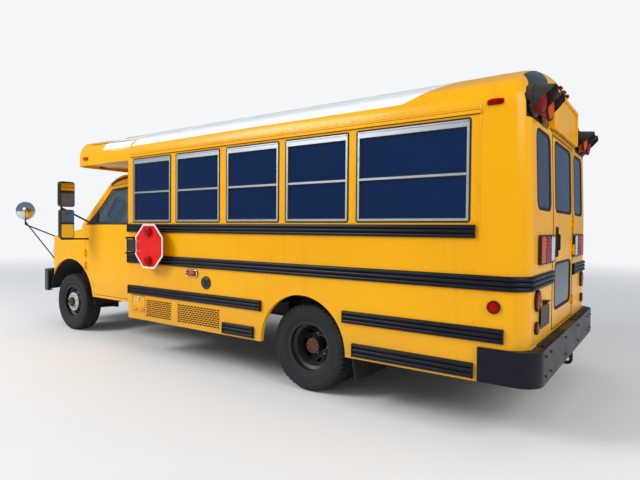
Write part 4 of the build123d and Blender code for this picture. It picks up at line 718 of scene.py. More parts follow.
warning_spots = [(1.039, "red"), (0.799, "amber")]
warning_height, warning_radius = 2.215, 0.0965
dome_profile = [(0, 0.084), (0.006, 0.083), (0.016, 0.074), (0.023, 0.058), (0.028, 0.036), (0.030, 0.014),
                (0.0305, 0.003)]
lamp_rings = {"red": [], "amber": []}
bezels = []
for side, _ in sides:
    for y, colour in warning_spots:
        spot = at(-1.795, side * y, warning_height)
        lamp_rings[colour].append(lathed(dome_profile, 32, spot, rearward))
        bezels.append(lathed([(-0.002, 0.0955), (0.010, 0.0955), (0.014, 0.092), (0.012, 0.085), (-0.002, 0.084)],
                             40, spot, rearward))
    for y, colour in ((0.78, "red"), (0.52, "amber")):
        spot = at(3.556, side * y, 2.225)
        lamp_rings[colour].append(lathed(dome_profile, 32, spot, forward))
        bezels.append(lathed([(-0.022, 0.098), (0.010, 0.096), (0.014, 0.092), (0.012, 0.085), (-0.022, 0.084)],
                             40, spot, forward))
made("warning_lenses_red", lamp_rings["red"], red_lens)
made("warning_lenses_amber", lamp_rings["amber"], amber_lens)
made("warning_lamp_rings", bezels, black_plastic)

# the tail clusters' gaskets, ribs and chrome edges
gaskets, trims = [], []
for side, _ in sides:
    for y, half in ((0.850, 0.079), (0.690, 0.079), (0.532, 0.076)):
        for points, section, group in (
                (rounded_loop(side * y - half, side * y + half, 1.150, 1.340, 0.016), bead(0.012, 0.024), gaskets),
                (rounded_loop(side * y - half + 0.01, side * y + half - 0.01, 1.160, 1.330, 0.012),
                 bead(0.006, 0.0225), trims)):
            group.append(band(points, rear_x, rearward, section))
made("tail_lamp_gaskets", gaskets, black_rubber, 60)
made("tail_lamp_edges", trims, chrome, 60)
for side, _ in sides:
    for y, half, lens, label in ((0.850, 0.065, amber_lens, "amber"), (0.690, 0.065, red_lens, "red"),
                                 (0.532, 0.062, clear_lens, "clear")):
        rows = [box_part(at(-1.7935, side * y - half, 1.172 + index * 0.0235),
                         at(-1.789, side * y + half, 1.185 + index * 0.0235), 0.0018) for index in range(7)]
        made("tail_lens_ribs_%s_%s" % (label, "left" if side > 0 else "right"), rows, lens)

# round lamps and reflectors: a bezel, and a faceted face under it
round_lamps = [
    # place, radius, direction
    (at(-1.784, 0.970, 0.730), 0.038, rearward), (at(-1.784, -0.970, 0.730), 0.038, rearward),
    (at(-1.784, 0.950, 0.910), 0.065, rearward), (at(-1.784, -0.950, 0.910), 0.065, rearward),
    (at(-1.570, 1.231, 0.880), 0.038, right), (at(-1.570, -1.231, 0.880), 0.038, left),
]
bezels, domes = [], []
for spot, radius, facing in round_lamps:
    profile = [(-0.012, radius * 1.12), (0.002, radius * 1.12), (0.004, radius * 1.04), (0.003, radius * 0.97),
               (-0.012, radius * 0.97)]
    bezels.append(lathed(profile, 32, spot, facing))
    domes.append(lathed([(0, radius * 0.95), (0.003, radius * 0.9), (0.006, radius * 0.6), (0.007, radius * 0.2)], 24,
                        spot, facing))
made("round_lamp_bezels", bezels, black_rubber)
made("round_lamp_domes", domes, red_lens)

# the rear warning lamps' hoods: the CAD pods with their tubes cut off, and a scalloped visor over each lens
pods = bmesh.new()
pods.from_mesh(nodes["lamp_hoods"].data)
bmesh.ops.remove_doubles(pods, verts=pods.verts, dist=1e-5)
cut = bmesh.ops.bisect_plane(pods, geom=pods.verts[:] + pods.edges[:] + pods.faces[:], dist=1e-6,
                             plane_co=(-1.766 + axle_x, 0, 0), plane_no=(-1, 0, 0), clear_outer=True)
rims = {}
for edge in cut["geom_cut"]:
    if isinstance(edge, bmesh.types.BMEdge):
        spot = (edge.verts[0].co + edge.verts[1].co) / 2
        nearest = min((abs(spot.y - side * y), side * y) for side, _ in sides for y, _ in warning_spots)[1]
        rims.setdefault(nearest, []).append(edge)
for edges in rims.values():
    bmesh.ops.bridge_loops(pods, edges=edges)
bmesh.ops.recalc_face_normals(pods, faces=pods.faces)
pod_mesh = bpy.data.meshes.new("lamp_pods")
pods.to_mesh(pod_mesh)
pods.free()


def sheet_faces(rows, columns):
    """Faces of a closed sheet, whose corners run row by row over its top and then over its underside."""
    half, faces = rows * columns, []
    for row in range(rows - 1):
        for here in range(row * columns, row * columns + columns - 1):
            top = [here, here + 1, here + columns + 1, here + columns]
            faces += [top, [half + corner for corner in top[::-1]]]
    rim = (list(range(columns)) + [row * columns + columns - 1 for row in range(1, rows)]
           + [(rows - 1) * columns + column for column in range(columns - 2, -1, -1)]
           + [row * columns for row in range(rows - 2, 0, -1)])
    return faces + [[a, b, b + half, a + half] for a, b in zip(rim, rim[1:] + rim[:1])]


def visor(spot, towards, length, radius, wall=0.004):
    """A half-tube over a lens. It opens out and draws back at its sides towards the tip."""
    rows, columns = 12, 24
    corners = []
    across = Vector((0, 0, 1)).cross(Vector(towards))
    for lift in (wall, 0):
        for row in range(rows + 1):
            share = row / rows
            reach = radians(118 - 70 * share**1.3)
            for column in range(columns + 1):
                angle = reach * (2 * column / columns - 1)
                out = radius + lift + 0.005 * share
                corners.append(Vector(spot) + Vector(towards) * length * share
                               + across * out * sin(angle) + Vector((0, 0, out * cos(angle) - 0.018 * share)))
    return corners, sheet_faces(rows + 1, columns + 1)


visors = [visor(at(-1.762, side * y, warning_height), rearward, 0.121, warning_radius)
          for side, _ in sides for y, _ in warning_spots]
made("warning_lamp_visors", visors, black_plastic)
pod_piece = finished("warning_lamp_pods", pod_mesh, black_plastic, "bus", 40)
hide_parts("lamp_hoods")

# Rear face: the warning lamps' panels are gloss black sheet laid over the cap and up round its top edge, the sign
# box over the door is a blank folded tray, and small red clearance lamps mark the roof line and the corners.
panel_black = mottled("gloss_black_panel", "#050506", "#0A0A0C", 2.0, 0.06, 0.14)
cap_surface = surface_of("rear_cap")


def laid_sheet(surface, columns, towards, thickness):
    """A thin closed sheet on a surface. Its columns are rows of spots, each landed along one direction."""
    found = [landed(surface, spot, towards) for column in columns for spot in column]
    corners = [hit + facing * thickness for hit, facing in found] + [hit - facing * 0.001 for hit, facing in found]
    return corners, sheet_faces(len(columns), len(columns[0]))


roof_top, crown_radius = 2.62, 2.5


def roof_height(y):
    """Height of the body's outline at a distance from the middle, short of its shoulders."""
    return roof_top - crown_radius + (crown_radius**2 - y**2) ** 0.5


panels = []
for side, _ in sides:
    columns = []
    for across in range(23):
        y = 0.565 + (1.150 - 0.565) * across / 22
        low = 2.098 + 0.03 * max(0, (0.62 - y) / 0.055)
        # the outer edge follows the shoulder, the rest runs up over the rounded top
        high = min(roof_height(y) - 0.012, 2.42 - (y - 0.95) * 0.9)
        columns.append([at(behind_bus, side * y, low + (high - low) * up / 26) for up in range(27)])
    panels.append(laid_sheet(cap_surface, columns, forward, 0.003))
made("warning_panels", panels, panel_black, 50)

# sign tray over the door: raised edges, a bottom lip, and dark sealant squeezed out around it
tray_edges = []
tray = rounded_loop(-0.508, 0.508, 2.137, 2.418, 0.014)
tray_edges.append(band(tray, -1.771, rearward,
                       [(-0.012, -0.002), (0.012, -0.002), (0.012, 0.012), (0.008, 0.016), (-0.008, 0.016),
                        (-0.012, 0.012)]))
sealant_spots = [at(behind_bus, u, v) for u, v in rounded_loop(-0.524, 0.524, 2.120, 2.436, 0.006)]
sealant = swept(*landed_all(cap_surface, sealant_spots, forward), bead(0.008, 0.003))
rust = mottled("rusty_sealant_line", "#5A3516", "#7A4A1C", 30.0, 0.7, 0.9, 0.0006, 140.0)
made("sign_tray_edges", tray_edges, yellow_enamel)
made("sign_tray_sealant", [sealant], rust, 60)

# clearance lamps: moulded housings, red at the rear and amber at the front, stuck on at the roof line
marks = [(at(behind_bus, y, 2.500), forward) for y in (0.15, 0.0, -0.15)]
marks += [(at(-1.560, beside * side, 2.196), towards) for side, towards in sides]
lamp_form = joined([box_part((-0.052, -0.019, -0.004), (0.052, 0.019, 0.010), 0.006),
                    box_part((-0.036, -0.016, 0.006), (0.036, 0.016, 0.030), 0.011)])
places = [one_place(body_surface, spot, towards, (0, 1, 0) if towards == forward else (1, 0, 0))
          for spot, towards in marks]
set_out("clearance_lamps_red", lamp_form, places, red_lens, "bus")
places = [one_place(body_surface, at(3.26, beside * side, 2.190), towards) for side, towards in sides]
places += [one_place(body_surface, at(ahead_of_bus, y, 2.450), rearward, (0, 1, 0)) for y in (0.15, 0.0, -0.15)]
set_out("clearance_lamps_amber", lamp_form, places, amber_lens, "bus")


# Rear windows and emergency door: bonded dark panes in black rubber, a bulb seal round the door, a black pull handle
# and rows of rivets along the door's folded edges.
def filled_loop(points, step):
    """Flat points with more set between them, a step or more apart."""
    filled = []
    for (u, v), (u_next, v_next) in zip(points, points[1:] + points[:1]):
        count = max(1, int(hypot(u_next - u, v_next - v) / step))
        filled += [(u + (u_next - u) * index / count, v + (v_next - v) * index / count) for index in range(count)]
    return filled


def loop_on(surface, loop, towards, section, start):
    """A band round flat points (u across, v up), landed on a surface from a distance."""
    spots = [at(start, u, v) for u, v in filled_loop(loop, 0.06)]
    return swept(*landed_all(surface, spots, towards), section)


door_surface = surface_of("emergency_door")
# the rubber laps the sheet and lines the opening in to the glass
jamb_rubber = [(0.008, -0.001), (0.008, 0.003), (0.002, 0.004), (-0.012, 0.002), (-0.015, -0.002), (-0.016, -0.018),
               (-0.004, -0.018)]
window_seals = [loop_on(cap_surface, rounded_loop(*sorted((side * 0.522, side * 0.958)), 1.522, 2.058, 0.068),
                        forward, jamb_rubber, behind_bus) for side, _ in sides]
window_seals.append(loop_on(cap_surface, rounded_loop(-0.437, 0.437, 0.633, 2.092, 0.01), forward, bead(0.007, 0.003),
                            behind_bus))
made("rear_window_seals", window_seals, black_rubber, 60)
pane_seals = [loop_on(door_surface, rounded_loop(-0.348, 0.348, low - 0.008, high + 0.008, 0.058), forward,
                      jamb_rubber, behind_bus) for low, high in ((0.780, 1.120), (1.530, 2.050))]
made("door_pane_seals", pane_seals, black_rubber, 60, "back_door")


# the panes are bonded nearly flush with the outside, in front of the glass's backing
def flush_pane(surface, loop, lift):
    spots, _ = landed_all(surface, [at(behind_bus, u, v) for u, v in loop], forward)
    spots = [spot + Vector((-lift, 0, 0)) for spot in spots]
    middle = sum(spots, Vector()) / len(spots)
    count = len(spots)
    corners = spots + [middle] + [spot + Vector((0.003, 0, 0)) for spot in spots] + [middle + Vector((0.003, 0, 0))]
    faces = []
    for turn in range(count):
        after = (turn + 1) % count
        faces += [[turn, after, count], [count + 1 + after, count + 1 + turn, 2 * count + 1],
                  [turn, count + 1 + turn, count + 1 + after, after]]
    return corners, faces


rear_glass = surface_of("body_glass")
door_glass = surface_of("emergency_door_glass")
panes = [flush_pane(rear_glass, rounded_loop(*sorted((side * 0.536, side * 0.944)), 1.536, 2.044, 0.056), 0.012)
         for side, _ in sides]
made("rear_flush_panes", panes, tinted_glass, None)
panes = [flush_pane(door_glass, rounded_loop(-0.334, 0.334, low, high, 0.046), 0.012)
         for low, high in ((0.786, 1.114), (1.536, 2.044))]
made("door_flush_panes", panes, tinted_glass, None, "back_door")

# pull handle: a black recessed cup with a lever across it
cup = band(rounded_loop(0.272, 0.328, 1.180, 1.400, 0.010), rear_x, rearward,
           [(-0.006, -0.002), (0.006, -0.002), (0.006, 0.008), (0.002, 0.011), (-0.006, 0.009)])
lever = joined([box_part(at(-1.775, 0.276, 1.184), at(-1.769, 0.324, 1.396), 0.002),
                box_part(at(-1.800, 0.290, 1.225), at(-1.786, 0.318, 1.350), 0.005),
                box_part(at(-1.790, 0.293, 1.330), at(-1.772, 0.315, 1.352), 0.003),
                box_part(at(-1.790, 0.293, 1.222), at(-1.772, 0.315, 1.244), 0.003)])
made("emergency_door_handle", [cup, lever], black_plastic, body="back_door")
door_rivets = []
for y in (-0.405, 0.398):
    door_rivets += row_of_places(door_surface, at(behind_bus, y, 0.68), at(behind_bus, y, 2.05), 0.115, forward)
for z in (0.668, 1.150, 1.490, 2.068):
    door_rivets += row_of_places(door_surface, at(behind_bus, -0.36, z), at(behind_bus, 0.36, z), 0.12, forward)
set_out("emergency_door_rivets", rivet, door_rivets, yellow_enamel, "back_door")

# plate lamp over the empty bracket, and the drip cap over the door
plate_lamp = joined([box_part(at(-1.800, 0.708, 0.862), at(-1.7705, 0.772, 0.884), 0.005),
                     box_part(at(-1.812, 0.700, 0.882), at(-1.7705, 0.780, 0.892), 0.003)])
made("plate_lamp", [plate_lamp], black_plastic)
cap_lip = loop_on(cap_surface, [(-0.45, 2.104), (0.45, 2.104), (0.45, 2.108), (-0.45, 2.108)], forward,
                  bead(0.008, 0.010), behind_bus)
made("door_drip_cap", [cap_lip], yellow_enamel)

# Left side fittings: the stop arm is a reflective red octagon with a white border on a black motor, with a red
# flasher above and below on both faces. Fuel filler, oval side lamp, skirt lid and pressed grilles sit below it.
sign_red = mottled("reflective_sign_red", "#E0180A", "#CE1308", 5.0, 0.3, 0.42, 0.0002, 400.0,
                  Specular_IOR_Level=0.2)
sign_white = mottled("reflective_sign_white", "#E8E8E4", "#D9D9D2", 5.0, 0.25, 0.4, 0.0002, 400.0)
dark_red_lens = lens_finish("dark_red_lens", "#C40C0C", "#7A0606")
# behind the sign the arm is painted black
tree = sign_red.node_tree
shader = tree.nodes["Principled BSDF"]
place = tree.nodes["Texture Coordinate"].outputs["Object"]
reach = add_node(tree, "ShaderNodeSeparateXYZ", inputs={0: place}).outputs["X"]
red = shader.inputs["Base Color"].links[0].from_socket
arm_start = 2.130 + axle_x
two_parts = blended(tree, ranged(tree, reach, arm_start, arm_start + 0.001), red, "#0E0E10")
tree.links.new(two_parts, shader.inputs["Base Color"])
dress(sign_red, "stop_arm")


def octagon(radius):
    """Points round a flat-topped octagon, as (along the bus, up), from its across-flats half-width."""
    corner = radius / cos(pi / 8)
    return [(corner * cos(radians(22.5 + 45 * turn)), corner * sin(radians(22.5 + 45 * turn))) for turn in range(8)]


stop_middle = (1.900, 1.180)
borders, lens_parts, rings = [], [], []
for y, out in ((1.317, 1), (1.312, -1)):
    facing = Vector((0, out, 0))
    outer, inner = octagon(0.2285), octagon(0.2115)
    corners, faces = [], []
    for lift in (0.0015, -0.002):
        for loop in (outer, inner):
            corners += [at(stop_middle[0] + u, y + out * lift, stop_middle[1] + v) for u, v in loop]
    for turn in range(8):
        after = (turn + 1) % 8
        for a, b in ((0, 8), (8, 24), (24, 16), (16, 0)):
            faces.append([a + turn, a + after, b + after, b + turn])
    borders.append((corners, faces))
    for up in (-0.150, 0.150):
        base = at(stop_middle[0], 1.3410 if out > 0 else 1.2870, stop_middle[1] + up)
        lens_parts.append(lathed([(-0.004, 0.045), (0.002, 0.0445), (0.010, 0.038), (0.014, 0.026), (0.0155, 0.010)],
                                 28, base, facing))
        rings.append(lathed([(-0.030, 0.0505), (0.002, 0.0505), (0.004, 0.048), (0.002, 0.0445), (-0.030, 0.0445)],
                            32, base, facing))
bolts = []
for up in (-0.050, 0.050):
    for along in (0.150, 0.190):
        bolts.append((at(stop_middle[0] + along, 1.3172, stop_middle[1] + up), (0, 1, 0), (1, 0, 0), (1.2, 1.2, 1.6)))
made("stop_sign_borders", borders, sign_white, None, "stop_sign_arm")
made("stop_sign_lenses", lens_parts, dark_red_lens, body="stop_sign_arm")
made("stop_sign_lamp_rings", rings, dark_red_lens, body="stop_sign_arm")
set_out("stop_sign_bolts", rivet, bolts, aluminium, "stop_sign_arm")

# motor box details, filler ring with its latch, oval lamp with its lens, all screwed to the wall
fittings, screws, oval = [], [], []
# the arm between the sign and its motor is covered by a black folded sleeve
sleeve = [box_part(at(2.118, 1.3095, 1.118), at(2.268, 1.3205, 1.242), 0.002)]
made("stop_arm_sleeve", sleeve, black_plastic, body="stop_sign_arm")
filler_spot = at(1.140, 1.231, 0.850)
fittings.append(lathed([(-0.012, 0.062), (-0.002, 0.062), (0.002, 0.058), (0.002, 0.050), (-0.006, 0.046),
                        (-0.012, 0.046)], 36, filler_spot, right))
fittings.append(lathed([(-0.006, 0.045), (0.000, 0.044), (0.003, 0.038), (0.004, 0.010)], 32, filler_spot, right))
fittings.append(box_part(filler_spot + Vector((-0.005, 0.000, -0.030)), filler_spot + Vector((0.005, 0.010, 0.030)),
                         0.002))
for turn in range(6):
    angle = tau * turn / 6
    screws.append((filler_spot + Vector((0.0555 * cos(angle), 0.002, 0.0555 * sin(angle))), right, (1, 0, 0),
                   (0.6, 0.6, 0.8)))
lamp_place = (1.340, 0.930)
slot_loop = rounded_loop(lamp_place[0] - 0.0825, lamp_place[0] + 0.0825, lamp_place[1] - 0.030,
                         lamp_place[1] + 0.030, 0.0295, 8)
oval.append(band(slot_loop, 1.2332, right, bead(0.010, 0.005)))
fittings.append(box_part(at(2.262, 1.2745, 1.150), at(2.318, 1.2953, 1.210), 0.006))
for z in (1.095, 1.265):
    screws.append((at(2.290, 1.229, z), right, (1, 0, 0), (1.1, 1.1, 1.2)))
for x in (lamp_place[0] - 0.071, lamp_place[0] + 0.071):
    screws.append((at(x, 1.2335, lamp_place[1]), right, (1, 0, 0), (0.8, 0.8, 1.0)))
lens = lathed([(0, 0.024), (0.006, 0.0235), (0.012, 0.019), (0.014, 0.010)], 28)
stretched = [Vector((corner.x * 2.1, corner.z, corner.y)) + at(lamp_place[0], 1.233, lamp_place[1])
             for corner in lens[0]]
finished("side_lamp_lens", built(stretched, lens[1]), amber_lens, "bus", 40)
made("side_lamp_bezel", oval, chrome, 60)
made("filler_cap_and_motor_cover", fittings, black_plastic)
set_out("side_fitting_screws", rivet, screws, chrome, "bus")

# skirt lid: a folded edge and a round slotted latch; grilles with a raised border, screwed round
latch = at(2.215, 1.227, 0.600)
lid_parts = [lathed([(-0.008, 0.0195), (0.001, 0.0195), (0.003, 0.017), (0.003, 0.006)], 24, latch, right),
             box_part(latch + Vector((-0.011, 0.001, -0.002)), latch + Vector((0.011, 0.006, 0.002)), 0.001)]
made("skirt_lid_latch", lid_parts, chrome, body="skirt_lid")
lid_edge = band(rounded_loop(2.112, 2.318, 0.498, 0.628, 0.008), wall_y, right, bead(0.006, 0.002))
made("skirt_lid_edge", [lid_edge], yellow_enamel, 60, "skirt_lid")
grille_spans, grille_low, grille_high = ((0.949, 1.571), (1.659, 2.087)), 0.415, 0.615
grille_edges, grille_screws = [], []
for back, front in grille_spans:
    edge_loop = rounded_loop(back + 0.002, front - 0.002, grille_low + 0.002, grille_high - 0.002, 0.004)
    grille_edges.append(band(edge_loop, wall_y, right, bead(0.009, 0.0025)))
    count = round((front - back) / 0.105)
    for index in range(count + 1):
        x = back + 0.012 + (front - back - 0.024) * index / count
        for z in (grille_low + 0.009, grille_high - 0.009):
            grille_screws.append((at(x, 1.2192, z), right, (1, 0, 0), (0.8, 0.8, 0.8)))
made("skirt_grille_edges", grille_edges, yellow_enamel, 60)
set_out("skirt_grille_screws", rivet, grille_screws, yellow_enamel, "bus")
# the plates are punched in staggered rows; the mesh behind the slots is painted near-black brown, partly road dirt and
# partly painted shade standing for the dark inside the slots
behind = mottled("dirty_and_shaded_steel_mesh", "#1E120B", "#2C1B10", 18.0, 0.7, 0.9, 0.001, 90.0)
slot_rim, slot_rows, bar_height, slot_pitch, web_width = 0.012, 9, 0.0066, 0.046, 0.0085
lattice = []
low, high = grille_low, grille_high
for back, front in grille_spans:
    for x_low, x_high in ((back, back + slot_rim), (front - slot_rim, front)):
        lattice.append(box_part(at(x_low, 1.213, low), at(x_high, wall_y, high), 0.001))
    row_pitch = (high - low - 2 * slot_rim + bar_height) / slot_rows
    for row in range(slot_rows + 1):
        z = low + slot_rim - bar_height + row * row_pitch
        z_low = low if row == 0 else z
        z_high = high if row == slot_rows else z + bar_height
        lattice.append(box_part(at(back + 0.001, 1.2132, z_low), at(front - 0.001, 1.2188, z_high), 0.001))
        if row < slot_rows:
            x = back + slot_rim + slot_pitch * (0.5 if row % 2 else 1) - web_width
            while x < front - slot_rim - web_width:
                lattice.append(box_part(at(x, 1.2134, z + bar_height - 0.001),
                                        at(x + web_width, 1.2186, z + row_pitch + 0.001), 0.001))
                x += slot_pitch
plates = made("skirt_grille_plates", lattice, yellow_enamel)
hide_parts("skirt_grilles")
# the backing's near-black brown is painted shade inside the slots as well as road dirt
meshes = [box_part(at(back + 0.015, 1.204, 0.428), at(front - 0.015, 1.2115, 0.602), 0.002)
          for back, front in grille_spans]
made("skirt_grille_meshes", meshes, behind)

# Wheels: radial tyres with blocked shoulders, worn and grey with road dust, on black steel disc wheels. All hubs carry
# a bright painted ring under eight nuts. The front ones end in a black cap, the rear ones in a rusty bolted flange.
tyre_black = mottled("dusty_tyre_rubber", "#202225", "#2B2C2E", 5.0, 0.72, 0.92, 0.0012, 240.0, dust=0.1,
                     Specular_IOR_Level=0.3)
wheel_black = mottled("wheel_black_enamel", "#15171A", "#202124", 8.0, 0.38, 0.6, 0.0006, 120.0, dust=0.12)
hub_bright = mottled("dull_aluminium_paint", "#D6D3C8", "#A8A498", 22.0, 0.32, 0.5, 0.0008, 150.0)
hub_rust = mottled("rusted_cast_iron", "#4A2C1B", "#6E4526", 30.0, 0.75, 0.95, 0.002, 110.0)
dress(wheel_black, "rim_front_left", "rim_front_right", "rims_rear_left", "rims_rear_right")

tyre_half = [
    # distance from the tyre's middle plane, radius, depth of the cross grooves there
    (0.0890, 0.2155, 0), (0.0925, 0.2240, 0), (0.0970, 0.2360, 0), (0.1030, 0.2480, 0), (0.1050, 0.2510, 0),
    (0.1050, 0.2560, 0), (0.1085, 0.2760, 0), (0.1098, 0.2950, 0), (0.1098, 0.3110, 0), (0.1114, 0.3140, 0),
    (0.1114, 0.3185, 0), (0.1095, 0.3215, 0), (0.1075, 0.3340, 0), (0.1062, 0.3400, 0), (0.1040, 0.3480, 0.0045),
    (0.1010, 0.3560, 0.0085), (0.0970, 0.3620, 0.0085), (0.0930, 0.3645, 0.0085), (0.0730, 0.3690, 0.0085),
    (0.0715, 0.3610, 0), (0.0640, 0.3612, 0), (0.0625, 0.3698, 0.0055), (0.0400, 0.3710, 0.0055),
    (0.0385, 0.3630, 0), (0.0310, 0.3630, 0), (0.0295, 0.3714, 0.0040), (0.0100, 0.3720, 0.0040),
]
tyre_rows = tyre_half + [(-across, radius, depth) for across, radius, depth in tyre_half[::-1]]
tread_steps = ((0.0, 1), (0.05, 0), (0.66, 0), (0.71, 1))
tread_pitches = 52


def tyre(middle):
    corners, faces = [], []
    columns = [(tau * (pitch + share) / tread_pitches, low) for pitch in range(tread_pitches)
               for share, low in tread_steps]
    for across, radius, depth in tyre_rows:
        for angle, low in columns:
            reach = radius - depth * low
            corners.append(Vector(middle) + Vector((reach * sin(angle), across, reach * cos(angle))))
    width = len(columns)
    for row in range(len(tyre_rows)):
        below = (row + 1) % len(tyre_rows)
        for column in range(width):
            after = (column + 1) % width
            faces.append([row * width + column, row * width + after, below * width + after, below * width + column])
    return corners, faces


nut = lathed([(-0.001, 0.0150), (0.0015, 0.0150), (0.0015, 0.0118), (0.0150, 0.0118), (0.0185, 0.0092),
              (0.0235, 0.0062)], 6)
nut_circle, bolt_circle = 0.092, 0.047


def nut_ring(middle, side, radius, lift, start, size):
    """Eight places round a wheel's middle, each with a corner of its nut pointing away from it."""
    angles = [tau * (turn + start) / 8 for turn in range(8)]
    return [(middle + Vector((radius * sin(angle), side * lift, radius * cos(angle))), (0, side, 0),
             (sin(angle), 0, cos(angle)), size) for angle in angles]


wheel_rows = [
    # body, axle's place along the bus, side, distances of its tyres from the middle, tyre node, is a rear pair
    ("front_wheel_l", front_axle, 1, (0.873,), "tyre_front_left", False),
    ("front_wheel_r", front_axle, -1, (0.873,), "tyre_front_right", False),
    ("rear_wheels_l", 0, 1, (1.012, 0.760), "tyres_rear_left", True),
    ("rear_wheels_r", 0, -1, (1.012, 0.760), "tyres_rear_right", True),
]
for body, x, side, offsets, node, pair in wheel_rows:
    out = Vector((0, side, 0))
    tyre_parts = [tyre(at(x, side * y, axle_height)) for y in offsets]
    tyres = made(node + "_treaded", tyre_parts, tyre_black, 35, body)
    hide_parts(node)
    disc_face = 0.897 if pair else 0.951
    ring_spot = at(x, side * disc_face, axle_height)
    cover = [(-0.004, 0.119), (0.005, 0.119), (0.008, 0.114), (0.006, 0.107), (0.003, 0.078), (0.010, 0.069),
             (0.016, 0.066), (0.016, 0.058), (-0.004, 0.058)]
    made("hub_cover_" + body, [lathed(cover, 40, ring_spot, out)], hub_bright, 35, body)
    nuts = nut_ring(ring_spot, side, nut_circle, 0.0035, 0.5, (1, 1, 1))
    set_out("wheel_nuts_" + body, nut, nuts, hub_bright, body, 30)
    hub_end = at(x, side * (1.042 if pair else 0.983), axle_height)
    end_form = ([(-0.010, 0.0655), (-0.002, 0.0655), (0.001, 0.062), (0.001, 0.030), (0.004, 0.027), (0.004, 0.010)]
                if pair else [(-0.020, 0.0655), (-0.004, 0.0655), (0.0, 0.055), (0.010, 0.050), (0.016, 0.036),
                              (0.018, 0.012)])
    made("hub_end_" + body, [lathed(end_form, 32, hub_end, out)], hub_rust if pair else wheel_black, 35,
         body)
    small = nut_ring(hub_end, side, bolt_circle, 0.001 if pair else -0.002, 0, (0.5, 0.5, 0.4))
    set_out("hub_bolts_" + body, nut, small, hub_rust, body, 30)
    # rubber snap-in valve, leaning out of the rim well
    root = at(x, side * (disc_face - 0.004), axle_height) + Vector((0.178, 0, 0))
    valve = lathed([(-0.004, 0.008), (0.004, 0.008), (0.008, 0.0055), (0.030, 0.0045), (0.042, 0.0045),
                    (0.044, 0.003)], 12, root, Vector((-0.25, side, 0)).normalized())
    made("tyre_valve_" + body, [valve], black_rubber, body=body)

# mud flaps: ribbed rubber sheets bolted up behind the rear wheels, kicked back at the foot and grey with dust
flap_sections = [(-0.466, 0.640), (-0.468, 0.500), (-0.474, 0.400), (-0.488, 0.300), (-0.506, 0.215), (-0.512, 0.190)]
low_y, high_y, columns = 0.700, 1.170, 25
flap_parts, flap_bolts = [], []
for side, _ in sides:
    corners = []
    for lift in (0.005, -0.005):
        for x, z in flap_sections:
            for column in range(columns):
                share = column / (columns - 1)
                wave = 0.004 * sin(9 * share + 14 * z) + (0.0015 if column % 2 else 0)
                corners.append(at(x + lift + wave * (1 if lift > 0 else 0.6),
                                  side * (low_y + (high_y - low_y) * share), z))
    flap_parts.append((corners, sheet_faces(len(flap_sections), columns)))
    flap_parts.append(box_part(at(-0.478, min(side * 0.70, side * 1.16), 0.592),
                               at(-0.456, max(side * 0.70, side * 1.16), 0.648), 0.004))
    for y in (0.76, 0.87, 0.99, 1.10):
        flap_bolts.append((at(-0.478, side * y, 0.620), rearward, (0, 1, 0), (1, 1, 0.6)))
made("mud_flaps", flap_parts, tyre_black)
set_out("mud_flap_bolts", nut, flap_bolts, hub_rust, "bus")

# Front wheel housings: black moulded liners clipped up inside the arches, dull with road dust.
housing_black = mottled("dusty_black_liner", "#101011", "#1D1B18", 6.0, 0.7, 0.9, 0.001, 80.0, dust=0.2)
liner_parts = []
for side, _ in sides:
    corners, count = [], 40
    for radius in (0.547, 0.541):
        for index in range(count + 1):
            angle = radians(14) + radians(168) * index / count
            for y in (0.600, 0.980):
                corners.append(at(front_axle + radius * cos(angle), side * y, 0.400 + radius * sin(angle)))
    liner_parts.append((corners, sheet_faces(count + 1, 2)))
made("front_wheel_liners", liner_parts, housing_black)

# Cab front: bonded windscreen in black rubber, with two wipers parked along its foot. The front bumper is dark grey
# moulded plastic, and the headlamps and the grille have bright surrounds. The rear bumper is steel, bolted on.
bumper_grey = mottled("weathered_bumper_plastic", "#313944", "#3B434D", 6.0, 0.42, 0.6, 0.0006, 160.0, dust=0.15)
mirror_silver = mottled("silvered_mirror_glass", "#D8DDE2", "#CDD3D9", 1.0, 0.01, 0.03, Metallic=1.0)
dress(bumper_grey, "front_bumper")
dress(mirror_silver, "mirror_faces", "door_mirror_faces")


def round_section(radius, around):
    return [(radius * cos(tau * turn / around), radius * sin(tau * turn / around)) for turn in range(around)]


def rod(points, radius, facing=(0, 0, 1)):
    """A round rod along a line of spots."""
    return swept(points, [facing] * len(points), round_section(radius, 10), closed=False)


front_surface = surface_of("windscreen", "cab_shell")
screen_loop = [(-0.862, 1.434), (0.862, 1.434), (0.747, 1.874), (-0.747, 1.874)]
made("windscreen_seal", [loop_on(front_surface, screen_loop, rearward, bead(0.024, 0.006), ahead_of_bus)],
     black_rubber, 60)
glass_surface = surface_of("windscreen")
wiper_parts = []
for pivot_y, tip_y in ((0.640, 0.070), (-0.060, -0.640)):
    spots = [at(ahead_of_bus, pivot_y + (tip_y - pivot_y) * share, 1.462 + 0.030 * share)
             for share in [index / 12 for index in range(13)]]
    spots, facings = landed_all(glass_surface, spots, rearward)
    wiper_parts.append(swept(spots, facings, [(-0.002, 0.0005), (0.002, 0.0005), (0.003, 0.008), (0.007, 0.010),
                                              (0.007, 0.014), (-0.007, 0.014), (-0.007, 0.010), (-0.003, 0.008)],
                             False))
    middle = spots[len(spots) // 2] + facings[0] * 0.016
    root = spots[0] + facings[0] * 0.012 + Vector((0.030, 0.020, -0.030))
    wiper_parts.append(rod([root, root.lerp(middle, 0.4) + facings[0] * 0.010, middle], 0.005, facings[0]))
    wiper_parts.append(lathed([(-0.030, 0.012), (0.006, 0.012), (0.010, 0.008)], 16, root, facings[0]))
made("wipers", wiper_parts, black_plastic)

